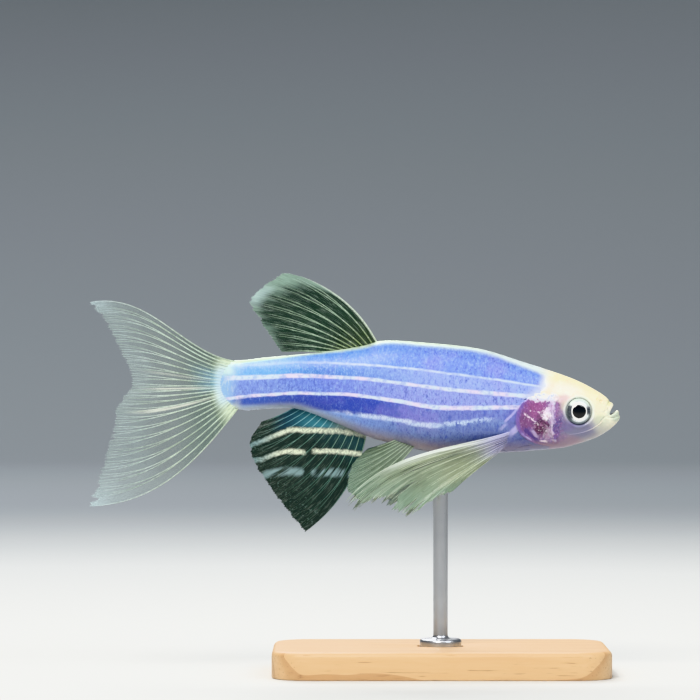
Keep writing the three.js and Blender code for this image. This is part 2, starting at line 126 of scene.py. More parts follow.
def note(thing, name, values):
    """Stores one number or one vector per point of the mesh, for its material to read."""
    kind, field = ("FLOAT", "value") if values.ndim == 1 else ("FLOAT_VECTOR", "vector")
    store = thing.data.attributes.new(name, kind, "POINT")
    store.data.foreach_set(field, values.astype(np.float32).ravel())


def dress(thing, material, slot, *nodes):
    """Gives a piece its material, and lets it ride with the model in place of the named solids. The
    slot is not used."""
    thing.data.materials.append(material)
    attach(thing, "root")
    if nodes:
        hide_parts(*nodes)


def base_ring(inset, height):
    """A rectangle with round corners at one height, drawn in by the inset: each corner's centre plus
    a quarter turn about it."""
    signs = np.repeat([[1, 1], [-1, 1], [-1, -1], [1, -1]], CORNER_STEPS, axis=0)
    centres = signs * [BASE_LENGTH / 2 - BASE_CORNER, BASE_WIDTH / 2 - BASE_CORNER]
    turn = np.radians(np.concatenate([np.linspace(s, s + 90, CORNER_STEPS) for s in (0, 90, 180, 270)]))
    outline = centres + (BASE_CORNER - inset) * np.column_stack([np.cos(turn), np.sin(turn)])
    return np.column_stack([outline, np.full(len(outline), height)])


top_rim = base_ring(BASE_BEVEL, BASE_HEIGHT)
spokes = unit(top_rim * [1, 1, 0])
recess_floor = np.array([0, 0, BASE_HEIGHT - RECESS_DEPTH])
rings = []
for swing in np.radians([-90, -60, -30, 0]):
    rings.append(base_ring(BASE_ARRIS * (1 - math.cos(swing)), BASE_ARRIS * (1 + math.sin(swing))))
for swing in np.radians([0, 18, 36, 54, 72, 90]):
    drop = BASE_BEVEL * (1 - math.sin(swing))
    rings.append(base_ring(BASE_BEVEL * (1 - math.cos(swing)), BASE_HEIGHT - drop))
for share in (0.06, 0.5, 1.0):
    circle = spokes * (RECESS_RADIUS + BASE_ARRIS) + [0, 0, BASE_HEIGHT]
    rings.append(top_rim * (1 - share) + circle * share)
for swing in np.radians([30, 60, 90]):
    reach = RECESS_RADIUS + BASE_ARRIS * (1 - math.sin(swing))
    rings.append(spokes * reach + [0, 0, BASE_HEIGHT - BASE_ARRIS * (1 - math.cos(swing))])
rings.append(spokes * RECESS_RADIUS + recess_floor)
base = mesh_piece("maple_base", *closed(rings, [0, 0, 0], recess_floor), crease=STAND_CREASE)


class Wire:
    """One output in a material's node tree. Arithmetic between wires and numbers adds Math nodes."""

    def __init__(self, finish, socket):
        self.finish = finish
        self.socket = socket

    def calculate(self, operation, *terms):
        return self.finish.node("ShaderNodeMath", {"operation": operation}, dict(enumerate(terms)))

    def __add__(self, other):
        return self.calculate("ADD", self, other)

    def __radd__(self, other):
        return self.calculate("ADD", other, self)

    def __sub__(self, other):
        return self.calculate("SUBTRACT", self, other)

    def __rsub__(self, other):
        return self.calculate("SUBTRACT", other, self)

    def __mul__(self, other):
        return self.calculate("MULTIPLY", self, other)

    def __rmul__(self, other):
        return self.calculate("MULTIPLY", other, self)

    def __truediv__(self, other):
        return self.calculate("DIVIDE", self, other)

    def __pow__(self, other):
        return self.calculate("POWER", self, other)

    def __abs__(self):
        return self.calculate("ABSOLUTE", self)

    def most(self, other):
        """The larger of the two."""
        return self.calculate("MAXIMUM", self, other)


def tone(red, green, blue):
    """A colour as it looks on a screen, 0 to 255, turned into light."""
    parts = np.array([red, green, blue]) / 255
    light = np.where(parts < 0.04045, parts / 12.92, ((parts + 0.055) / 1.055) ** 2.4)
    return (*light.tolist(), 1.0)


class Finish:
    """A material being made. Each node is one call: its kind, its settings, then what feeds its sockets."""

    def __init__(self, name):
        self.material = bpy.data.materials.new(name)
        self.material.use_nodes = True
        self.tree = self.material.node_tree
        self.tree.nodes.clear()

    def node(self, kind, settings=None, values=None, out=0):
        made = self.tree.nodes.new(kind)
        for key, value in (settings or {}).items():
            setattr(made, key, value)
        for key, value in (values or {}).items():
            if isinstance(value, Wire):
                self.tree.links.new(value.socket, made.inputs[key])
            else:
                made.inputs[key].default_value = value
        return Wire(self, made.outputs[out]) if made.outputs else None

    def mix(self, share, first, second):
        """The first colour where the share is 0, and the second where it is 1. Both are wires or
        plain colours from 0 to 255."""
        first, second = (paint if isinstance(paint, Wire) else tone(*paint) for paint in (first, second))
        return self.node("ShaderNodeMix", {"data_type": "RGBA"}, {0: share, 6: first, 7: second}, out=2)

    def layers(self, colour, *coats):
        """The colour under some coats, each laid over the last: how strong it is, and its paint."""
        for share, paint in coats:
            colour = self.mix(share, colour, paint)
        return colour

    def step(self, value, low, high):
        """From 0 at low to 1 at high, easing in and out."""
        settings = {"interpolation_type": "SMOOTHSTEP"}
        return self.node("ShaderNodeMapRange", settings, {0: value, 1: low, 2: high, 3: 0.0, 4: 1.0})

    def ease(self, value, low, high, first, last):
        """From first at low to last at high, in a straight line, and held at both ends."""
        return self.node("ShaderNodeMapRange", {}, {0: value, 1: low, 2: high, 3: first, 4: last})

    def vector(self, operation, first, second, out=0):
        return self.node("ShaderNodeVectorMath", {"operation": operation}, {0: first, 1: second}, out)

    def place(self):
        """Where a point lies on the model, in mm."""
        at = self.node("ShaderNodeTexCoord", out="Object")
        return self.vector("MULTIPLY", at, (1 / MM,) * 3)

    def noted(self, name):
        """What the mesh's points hold under this name."""
        return self.node("ShaderNodeAttribute", {"attribute_name": name}, out="Vector")

    def split(self, vector):
        apart = self.node("ShaderNodeSeparateXYZ", {}, {0: vector})
        return [Wire(self, apart.socket.node.outputs[k]) for k in range(3)]

    def join(self, *parts):
        return self.node("ShaderNodeCombineXYZ", {}, dict(enumerate(parts)))

    def noise(self, vector, scale, detail=2.0, rough=0.5, stretch=None, out=0):
        """Cloudy noise about 0.5, finer where the scale is larger; a stretch below 1 draws it out."""
        if stretch:
            vector = self.vector("MULTIPLY", vector, stretch)
        values = {"Vector": vector, "Scale": scale, "Detail": detail, "Roughness": rough}
        return self.node("ShaderNodeTexNoise", {}, values, out)

    def bump(self, height, depth, strength):
        """A relief of a height from 0 to 1 over the depth in mm."""
        values = {"Strength": strength, "Distance": depth * MM, "Height": height}
        return self.node("ShaderNodeBump", {}, values)

    def done(self, **values):
        """Ends the material with the shader that is fed by these sockets, whose names have _ for a space."""
        named = {key.replace("_", " "): value for key, value in values.items()}
        shader = self.node("ShaderNodeBsdfPrincipled", {}, named)
        self.node("ShaderNodeOutputMaterial", {}, {"Surface": shader})
        return self.material


# The maple shows the rings of the tree as long, slightly wandering bands, with short dark pores that
# run along the grain.
RING_WIDTH = 1.7  # mm between two rings
RING_WANDER = 3  # mm
HEART = (0.0, 38.0, -20.0)  # mm from the block to the tree's middle
maple = Finish("maple")
spot = maple.place()
sway = maple.noise(spot, 0.09, 3, 0.5, (0.35, 1, 1))
across = maple.vector("SUBTRACT", spot, HEART)
reach = maple.vector("LENGTH", maple.vector("MULTIPLY", across, (0, 1, 1)), (0, 0, 0), out="Value")
year = (reach + sway * RING_WANDER) / RING_WIDTH
late_wood = maple.step(year.calculate("FRACT", year), 0.45, 1.0)
grain = maple.noise(spot, 1.6, 4, 0.65, (0.12, 1.6, 1.6))
pores = maple.step(maple.noise(spot, 3.4, 2, 0.5, (0.1, 2.2, 2.2)), 0.63, 0.72)
maple_oiled = maple.done(
    Base_Color=maple.layers(
        maple.mix(grain, (222, 190, 148), (204, 166, 120)),
        (late_wood * 0.55, (176, 130, 84)),
        (pores * 0.5, (140, 98, 62)),
    ),
    Roughness=0.42 + grain * 0.16 + pores * 0.2,
    Normal=maple.bump(grain * 0.5 + pores * -0.6 + late_wood * 0.3, 0.03, 0.6),
    Coat_Weight=0.15,
    Coat_Roughness=0.3,
)
dress(base, maple_oiled, "base_wood", "stand_base")

# The rod is turned from steel in one piece with its round foot, which sits in the recess. Its upper
# end goes into the fish's belly.
ROD_RADIUS = 0.7
ROD_FILLET = 0.35  # the round between the rod and its foot
ROD_TURNS = 48
FOOT_RADIUS = 2.0
FOOT_TOP = 3.3
FOOT_BOTTOM = 2.3
FOOT_ROUND = 0.3  # of its upper edge
FOOT_ARRIS = 0.1  # of its lower edge
BELLY_HEIGHT = 20.97  # mm above the floor, where the rod meets the fish
ROD_IN = 0.25  # how far it goes in
NECK_DROP = 1.1  # mm under the belly, where the rod's end is turned a little thinner
NECK_CUT = 0.02


def arc(centre_r, centre_z, radius, first, last, steps):
    """Part of a circle in the profile's plane, from the first angle to the last, in degrees."""
    swing = np.radians(np.linspace(first, last, steps))
    return np.column_stack([centre_r + radius * np.cos(swing), centre_z + radius * np.sin(swing)])


def spin(profile, steps):
    """The rings that [radius, height] rows draw when they are turned about the upright axis."""
    turn = np.linspace(0, 2 * np.pi, steps, endpoint=False)
    radius, height = profile[:, :1], profile[:, 1:]
    return np.stack([radius * np.cos(turn), radius * np.sin(turn), np.repeat(height, steps, axis=1)], -1)


rod_end = BELLY_HEIGHT + ROD_IN
neck = BELLY_HEIGHT - NECK_DROP
profile = np.concatenate([
    arc(FOOT_RADIUS - FOOT_ARRIS, FOOT_BOTTOM + FOOT_ARRIS, FOOT_ARRIS, -90, 0, 4),
    arc(FOOT_RADIUS - FOOT_ROUND, FOOT_TOP - FOOT_ROUND, FOOT_ROUND, 0, 90, 7),
    arc(ROD_RADIUS + ROD_FILLET, FOOT_TOP + ROD_FILLET, ROD_FILLET, 270, 180, 7),
    [[ROD_RADIUS, z] for z in np.linspace(5, neck - 0.1, 6)],
    [[ROD_RADIUS - NECK_CUT, neck], [ROD_RADIUS - NECK_CUT, rod_end]],
])
turned_rod = closed(spin(profile, ROD_TURNS), [0, 0, FOOT_BOTTOM], [0, 0, rod_end])
rod = mesh_piece("steel_rod", *turned_rod, crease=STAND_CREASE)

steel = Finish("turned_steel")
spot = steel.place()
tool_marks = steel.noise(spot, 9.0, 3, 0.7, (0.15, 0.15, 3.5))
haze = steel.noise(spot, 0.5, 2)
turned_steel = steel.done(
    Base_Color=steel.mix(haze, (186, 188, 192), (206, 207, 209)),
    Metallic=1.0,
    Roughness=0.2 + tool_marks * 0.16 + haze * 0.06,
    Normal=steel.bump(tool_marks, 0.01, 0.5),
)
dress(rod, turned_steel, "rod_steel", "stand_rod")

# The fish's body is one skin from the mouth to the root of the tail fin. It is worked out in the
# fish's own frame, with x forward from the tail's root, and then tipped nose down over the rod.
NOSE_DOWN = math.radians(4)
ROD_STATION = 21.2
BACK = [
    [-1, 2.2], [1.6, 2.41], [5.3, 2.96], [9.1, 3.62], [12.9, 4.44], [15, 5.12], [18.6, 5.22],
    [24.3, 4.98], [28.2, 4.1], [32.1, 3.15], [34.1, 2.51], [35.6, 1.83], [36.5, 1.32], [37, 0.88],
    [37.3, 0.55], [37.7, 0.1], [37.95, -0.2], [38.05, -0.45],
]
BELLY = [
    [-1, -2.2], [1.9, -2.35], [5.7, -1.92], [7.6, -1.92], [11.5, -3.12], [14.4, -4.12], [17.3, -4.64],
    [21.2, -5.16], [26.9, -4.67], [32.6, -3.87], [34.5, -3.24], [36.3, -2.42], [37.2, -1.66],
    [37.9, -0.9], [38.05, -0.55],
]
HALF_WIDTH = [
    [-1, 0.55], [0.5, 0.72], [3, 0.95], [7, 1.35], [11, 1.85], [16, 2.5], [21.5, 2.8], [26, 2.7],
    [30, 2.42], [33, 1.98], [35, 1.54], [36.3, 1.15], [37.1, 0.86], [37.7, 0.52], [38.05, 0.05],
]
SQUARE = 2.15  # the section's exponent; 2 is an ellipse
TAIL_END = -0.3
TAIL_TAPER = 2.6  # mm over which the flesh thins out onto the tail fin
TAIL_THIN = 0.08  # the share of its width that is left at the end
TAIL_ROUND = (0.9, 1.5)  # mm that the end curves forward at its top and at its bottom
TAIL_HALF_DEPTH = 2.35
SNOUT_START = 33.0  # from here on the rings tip forward to face the mouth
AROUND = 252


def through(knots, x):
    """The smooth curve through [x, value] knots: cubic stretches whose slope at a knot is that from its
    neighbour before to its neighbour behind."""
    at, value = np.array(knots, float).T
    slope = np.gradient(value, at)
    slope[1:-1] = (value[2:] - value[:-2]) / (at[2:] - at[:-2])
    i = np.clip(np.searchsorted(at, x, side="right") - 1, 0, len(at) - 2)
    width = at[i + 1] - at[i]
    t = (x - at[i]) / width
    start = (2 * t**3 - 3 * t**2 + 1) * value[i] + (t**3 - 2 * t**2 + t) * slope[i] * width
    return start + (3 * t**2 - 2 * t**3) * value[i + 1] + (t**3 - t**2) * slope[i + 1] * width


def smooth(x, low, high):
    """From 0 at low to 1 at high, easing in and out."""
    t = np.clip((x - low) / (high - low), 0, 1)
    return t * t * (3 - 2 * t)


def blend(first, last, share):
    """From first where the share is 0 to last where it is 1, in a straight line."""
    return first + (last - first) * share


def bell(x, width):
    """1 at nothing, falling off on both sides within about the width."""
    return np.exp(-((x / width) ** 2))


def bent(value, exponent):
    """A power that keeps the sign."""
    return np.sign(value) * np.abs(value) ** exponent


def core(x):
    """The height of the body's middle at station x, and half its depth there."""
    back, belly = through(BACK, x), through(BELLY, x)
    return (back + belly) / 2, (back - belly) / 2


def skin_at(x, angle, lift=0.0):
    """The body's smooth surface at station x: a superellipse between the outlines of back and belly, with
    the angle 90 degrees on the back, 0 on the left side and -90 on the belly, raised by the lift."""
    x, angle = np.broadcast_arrays(np.asarray(x, float), np.asarray(angle, float))
    middle, half = core(x)

    def section(a):
        out = through(HALF_WIDTH, x) * bent(np.cos(a), 2 / SQUARE)
        return np.stack([x, out, middle + half * bent(np.sin(a), 2 / SQUARE)], -1)

    along = unit(section(angle + 0.02) - section(angle - 0.02))
    raised = np.stack([np.zeros_like(x), along[..., 2], -along[..., 1]], -1)
    return section(angle) + raised * np.asarray(lift)[..., None]


def tail_round(z):
    """How far forward the rounded end of the tail lies at each height."""
    return np.where(z > 0, *TAIL_ROUND) * (z / TAIL_HALF_DEPTH) ** 2


def flesh(x, angle, lift=0.0):
    """The same surface, thinned and rounded towards the end of the tail."""
    points = skin_at(x, angle, lift)
    thin = np.clip((np.asarray(x) - TAIL_END) / TAIL_TAPER, 0, 1)
    points[..., 1] *= blend(TAIL_THIN, 1, np.sin(np.pi / 2 * thin))
    points[..., 0] += tail_round(points[..., 2]) * (1 - smooth(x, TAIL_END, 4))
    return points


def side_at(x, z):
    """How far out to the side the smooth surface is at station x and height z."""
    middle, half = core(x)
    share = np.clip(np.abs(z - middle) / half, 0, 1)
    return through(HALF_WIDTH, x) * (1 - share**SQUARE) ** (1 / SQUARE)


def in_row(points):
    """From the fish's own frame to the model's: a turn about Y that tips the nose down, then a lift that puts
    the belly at the rod's station on top of the rod."""
    c, s = math.cos(NOSE_DOWN), math.sin(NOSE_DOWN)

    def tip(p):
        return np.stack([p[..., 0] * c + p[..., 2] * s, p[..., 1], p[..., 2] * c - p[..., 0] * s], -1)

    held = tip(skin_at(ROD_STATION, -np.pi / 2))
    return tip(points) - held * [1, 0, 1] + [0, 0, BELLY_HEIGHT]


def normals(grid, wrap=False):
    """Unit normals of a grid of points: the cross product of its steps along rows and columns."""
    if wrap:
        across = np.roll(grid, -1, axis=1) - np.roll(grid, 1, axis=1)
    else:
        across = np.gradient(grid, axis=1)
    cross = np.cross(across, np.gradient(grid, axis=0))
    return cross / np.maximum(np.linalg.norm(cross, axis=-1, keepdims=True), 1e-12)


# Where the fish's marks lie, in its own frame: the pale lines A to D along its side, the rear edge of
# the gill cover, and the edge where the blue of the back meets the cream head.
LINES = (
    [[-1, 1.6], [0, 1.66], [3.5, 1.98], [7.28, 2.53], [13.57, 2.74], [17, 2.7], [19.97, 2.57], [26.33, 2.16],
     [30, 1.84]],
    [[-1, 0.45], [0.72, 0.58], [3.57, 0.87], [7.37, 1.27], [11.19, 1.38], [13.7, 1.42], [16.89, 1.24],
     [21.67, 0.97], [29.28, 0.84]],
    [[-1, -1.75], [0.67, -1.39], [2.27, -1.07], [3.68, -0.83], [5.58, -0.58], [7.47, -0.36], [9.6, -0.28],
     [12.23, -0.17], [17.01, -0.49], [20.2, -0.8], [23.76, -0.62], [28.09, -0.26]],
    [[-1, -2.2], [5, -1.75], [11.56, -1.93], [13.94, -2.07], [17, -2.26], [18.73, -2.46], [20.5, -2.5],
     [21.95, -2.26], [25.45, -1.62], [28, -1.5]],
)
GILL_EDGE = np.array([
    [30.9, 0.98], [29.96, 0.85], [29.21, 0.61], [28.47, 0.27], [28.12, -0.23], [27.97, -0.82],
    [27.93, -1.58], [28.17, -2.33], [28.59, -2.88], [29.29, -3.3], [30.17, -3.63], [31.42, -3.8],
])
CHEEK_EDGE = np.array([
    [31.87, 0.79], [31.53, 0.2], [31.39, -0.58], [31.46, -1.53], [31.62, -2.47], [31.87, -3.22],
])
GILL_FRONT = 31.4  # the furthest forward that the gill cover's edge counts
HEAD_SLANT = [
    [0.39, 28.75], [0.8, 29.1], [1.46, 29.9], [2.1, 30.5], [2.8, 30.72], [4, 30.7], [6, 30.6],
]  # heights, and where the blue ends there
EYE_CENTRE = np.array([33.93, 1.26, -0.26])
EYE_RADIUS = 1.28
EYE_TILT = math.radians(9)  # how far the eyes look forward
MOUTH_CORNER = (36.92, -0.38)
MOUTH_LINE = np.array([MOUTH_CORNER, [36.47, -0.7], [36.2, -1.01]])
NOSTRILS = ((36.05, 0.86, 0.17), (35.72, 1.0, 0.14))  # where they are, and their radius
SCALE_DROP = 0.05  # the skin lies this much lower under the scales
BARE_BELOW = -3.3  # under this height the throat is bare
COAT_FRONT = 29.6  # where the scales end there


def to_line(x, z, line):
    """The shortest distance in the side view from each point to a line of short straight pieces."""
    best = np.full(x.shape, 1e9)
    for (ax, az), (bx, bz) in zip(line[:-1], line[1:]):
        run = (bx - ax, bz - az)
        share = np.clip(((x - ax) * run[0] + (z - az) * run[1]) / (run[0] ** 2 + run[1] ** 2), 0, 1)
        best = np.minimum(best, np.hypot(x - ax - share * run[0], z - az - share * run[1]))
    return best


def head_line(z):
    """The station where the head begins at each height: the blue's slanting edge above, the gill cover's
    rear edge below."""
    lower = np.interp(z, GILL_EDGE[::-1, 1], GILL_EDGE[::-1, 0])
    first, last = HEAD_SLANT[0][0], HEAD_SLANT[-1][0]
    slant = through(HEAD_SLANT, np.clip(z, first, last))
    return np.where(z > first, slant, np.minimum(lower, GILL_FRONT))


def coat_line(z):
    """The station where the scales end at each height. The throat in front of it is bare."""
    return np.where(z < BARE_BELOW, np.minimum(head_line(z), COAT_FRONT), head_line(z))


def eye_distance(points):
    """How far each point is from its eye's middle, across the eye's tilted axis."""
    axis = np.array([math.sin(EYE_TILT), math.cos(EYE_TILT), 0])
    away = np.stack([points[..., 0], np.abs(points[..., 1]), points[..., 2]], -1) - EYE_CENTRE
    depth = away @ axis
    return np.linalg.norm(away - depth[..., None] * axis, axis=-1)


def note_marks(thing, points):
    """Stores where each point lies on the smooth body and how far it is from every mark."""
    x, z = points[:, 0], points[:, 2]
    middle, half = core(x)
    away = [z - through(line, np.clip(x, line[0][0], line[-1][0])) for line in LINES]
    note(thing, "spot", points)
    note(thing, "lines", np.column_stack(away[:3]))
    note(thing, "more", np.column_stack([away[3], (z - middle) / half, x - head_line(z)]))


# The skin's rings run up the body and then tip forward on the snout, until the last one is the rim of
# the open mouth. From there the lips roll in and the skin goes on into the throat.
SNOUT_RINGS = 78
SNOUT_TOP = [[0, SNOUT_START], [0.25, 34.15], [0.5, 35.3], [0.72, 36.25], [0.88, 36.9], [1, 37.24]]
SNOUT_LOW_X = [
    [0, SNOUT_START], [0.25, 34.6], [0.5, 36.1], [0.68, 37.05], [0.82, 37.8], [0.92, 38.03], [1, 37.78],
]
SNOUT_LOW_Z = [[0, -3.78], [0.25, -3.2], [0.5, -2.52], [0.68, -1.83], [0.82, -1.06], [0.92, -0.5], [1, 0.0]]
LIP_RADIUS = 0.13
THROAT = (35.9, 0.0, -0.75)  # where the skin inside the mouth ends
TRUNK_START = 2.0  # the rings stand closer behind this station
GILLS_START = 27.4  # and ahead of this one
TAIL_RINGS, TRUNK_RINGS, GILL_RINGS = 24, 148, 92
GILL_PLATE = 0.11  # from here on, mm that the small forms stand out of the skin or go into it
GILL_SLIT = 0.16
CHEEK_RIDGE = 0.035
CHEEK_GROOVE = 0.045
LIP_SWELL = 0.07
LIP_GROOVE = 0.06
MOUTH_GROOVE = 0.07
NOSTRIL_RIM = 0.03
NOSTRIL_DEPTH = 0.12
SOCKET_RIM = 0.06
NO_EYE = 9.0  # mm, noted as the distance from the eye inside the mouth

near_tail = np.linspace(0, 1, TAIL_RINGS, endpoint=False) ** 1.5
stations = np.concatenate([
    blend(TAIL_END, TRUNK_START, near_tail),
    np.linspace(TRUNK_START, GILLS_START, TRUNK_RINGS, endpoint=False),
    np.linspace(GILLS_START, SNOUT_START, GILL_RINGS, endpoint=False),
])[:, None]
angles = np.linspace(0, 2 * np.pi, AROUND, endpoint=False)
rise = bent(np.sin(angles), 2 / SQUARE)
trunk_rings = flesh(stations, angles[None])

q = np.linspace(0, 1, SNOUT_RINGS)[:, None]
top = np.stack([through(SNOUT_TOP, q), through(BACK, through(SNOUT_TOP, q))], -1)
low = np.stack([through(SNOUT_LOW_X, q), through(SNOUT_LOW_Z, q)], -1)
low[0] = [[SNOUT_START, through(BELLY, SNOUT_START)]]
middle = (top + low) / 2
side = middle[:1] * (1 - q[..., None]) + np.array(MOUTH_CORNER) * q[..., None]
profile = middle + (top - low) / 2 * rise[:, None] + (side - middle) * np.cos(angles)[:, None] ** 2
reach = side_at(side[..., 0], side[..., 1])
snout_y = reach * bent(np.cos(angles), 2 / SQUARE * (1 - q**2) + 0.6 * q**2)
snout_rings = np.stack([profile[..., 0], snout_y, profile[..., 1]], -1)
smooth_body = np.concatenate([trunk_rings, snout_rings])

x, z = smooth_body[..., 0], smooth_body[..., 2]
behind_head = smooth(coat_line(z) - x, 0.05, 0.35)
gill_gap = to_line(x, z, GILL_EDGE)
on_side = smooth(np.abs(smooth_body[..., 1]), 0.25, 0.7)
open_gill = on_side * smooth(z, -3.75, -3.3) * (1 - smooth(z, 0.55, 0.95))
ahead = np.sign(x - head_line(z))
plate = GILL_PLATE * np.exp(-gill_gap / 1.1) * smooth(x - head_line(z), -0.02, 0.05) * open_gill
slit = -GILL_SLIT * bell(gill_gap * ahead + 0.1, 0.09) * open_gill
cheek = to_line(x, z, CHEEK_EDGE)
cheek_fold = (CHEEK_RIDGE * bell(cheek, 0.16) - CHEEK_GROOVE * bell(cheek - 0.2, 0.1)) * on_side
from_rim = np.linalg.norm(smooth_body - smooth_body[-1], axis=-1)
lips = LIP_SWELL * bell(from_rim - 0.06, 0.2) - LIP_GROOVE * bell(from_rim - 0.4, 0.12)
line_back = -MOUTH_GROOVE * bell(to_line(x, z, MOUTH_LINE), 0.08) * smooth(from_rim, 0.05, 0.25)
nose = np.zeros_like(x)
for nostril_x, nostril_z, radius in NOSTRILS:
    away = np.hypot(x - nostril_x, z - nostril_z) / radius
    nose += NOSTRIL_RIM * bell(away - 1.25, 0.35) - NOSTRIL_DEPTH * (1 - smooth(away, 0.5, 1.05))
eye_away = eye_distance(smooth_body)
socket = SOCKET_RIM * bell(eye_away - 1.5, 0.15) * on_side
height = plate + slit + cheek_fold + lips + line_back + nose * on_side + socket
height = height - SCALE_DROP * behind_head
shaped = smooth_body + normals(smooth_body, wrap=True) * height[..., None]
eye_plane = EYE_CENTRE[1] - (x - EYE_CENTRE[0]) * math.tan(EYE_TILT)
kept = smooth(eye_away, 1.2, 1.4)
in_socket = blend(eye_plane, np.abs(shaped[..., 1]), kept)
shaped[..., 1] = np.where(on_side > 0.5, np.sign(shaped[..., 1]) * in_socket, shaped[..., 1])

rim = shaped[-1]
forward = unit(rim - shaped[-2])
outward = normals(shaped, wrap=True)[-1]
lip_turn = np.radians([30, 60, 90, 120, 150, 180])[:, None, None]
rolled = rim + LIP_RADIUS * (np.sin(lip_turn) * forward + (np.cos(lip_turn) - 1) * outward)
deeper = np.linspace(0, 1, 9)[1:-1, None, None]
inside = rolled[-1] * (1 - deeper) + np.array(THROAT) * deeper
rings = np.concatenate([shaped, rolled, inside])
count = rings.shape[0] * AROUND
left = np.arange(-AROUND // 4, AROUND // 4)
right = AROUND // 2 - left
tail_cap = np.stack([left % AROUND, (left + 1) % AROUND, right - 1, right], -1)[1:-1]
tail_tips = np.array([
    [left[0] % AROUND, (left[0] + 1) % AROUND, right[0] - 1],
    [left[-1] % AROUND, (left[-1] + 1) % AROUND, right[-1]],
])
throat_cap = fan(np.arange(count - AROUND, count), count)
skin = mesh_piece(
    "fish_skin",
    in_row(np.concatenate([rings.reshape(-1, 3), [THROAT]])),
    np.concatenate([lattice(len(rings), AROUND, wrap=True), tail_cap]),
    np.concatenate([tail_tips, throat_cap]),
)
extra = len(rings) - len(smooth_body)
marked = np.concatenate([smooth_body, np.repeat(smooth_body[-1:], extra, axis=0)]).reshape(-1, 3)
note_marks(skin, np.concatenate([marked, [THROAT]]))
in_mouth = np.concatenate([np.zeros(len(smooth_body)), np.linspace(0.1, 1, extra) ** 0.8])
lip_distance = np.concatenate([from_rim, np.zeros((extra, AROUND))]).ravel()
note(skin, "face", np.column_stack([
    np.append(np.concatenate([eye_away, np.full((extra, AROUND), NO_EYE)]), NO_EYE),
    np.append(lip_distance, 0.0),
    np.append(np.repeat(in_mouth, AROUND), 1.0),
]))


def patch(made, spot, at, size):
    """How far inside a soft oval spot of the side view a point is, 1 in its middle."""
    along, _, up = spot
    across = ((along - at[0]) * (1 / size[0])) ** 2 + ((up - at[1]) * (1 / size[1])) ** 2
    return made.step(across, 1.7, 0.15)


def stripe(made, away, half, soft, wave, strength):
    """A pale line: 1 where the distance away, made to waver, is less than half its width."""
    return made.step(abs(away + wave), half + soft, half - soft * 0.5) * strength


def stroke(made, spot, start, end, half):
    """A straight mark between two places in the side view, fading at its edges and its ends."""
    along, _, up = spot
    run = np.subtract(end, start)
    length = float(np.hypot(*run))
    forth, rise = (run / length).tolist()
    aside = abs((along - start[0]) * -rise + (up - start[1]) * forth)
    done = (along - start[0]) * forth + (up - start[1]) * rise
    inside = made.step(done, -half, half) * made.step(done, length + half, length - half)
    return made.step(aside, half, half * 0.3) * inside


def dabs(made, colour, kind, spot, *marks):
    """The colour with patches or strokes laid over it. Each mark says where it lies, then its paint
    and how strong it is."""
    for *where, paint, strength in marks:
        colour = made.mix(kind(made, spot, *where) * strength, colour, paint)
    return colour


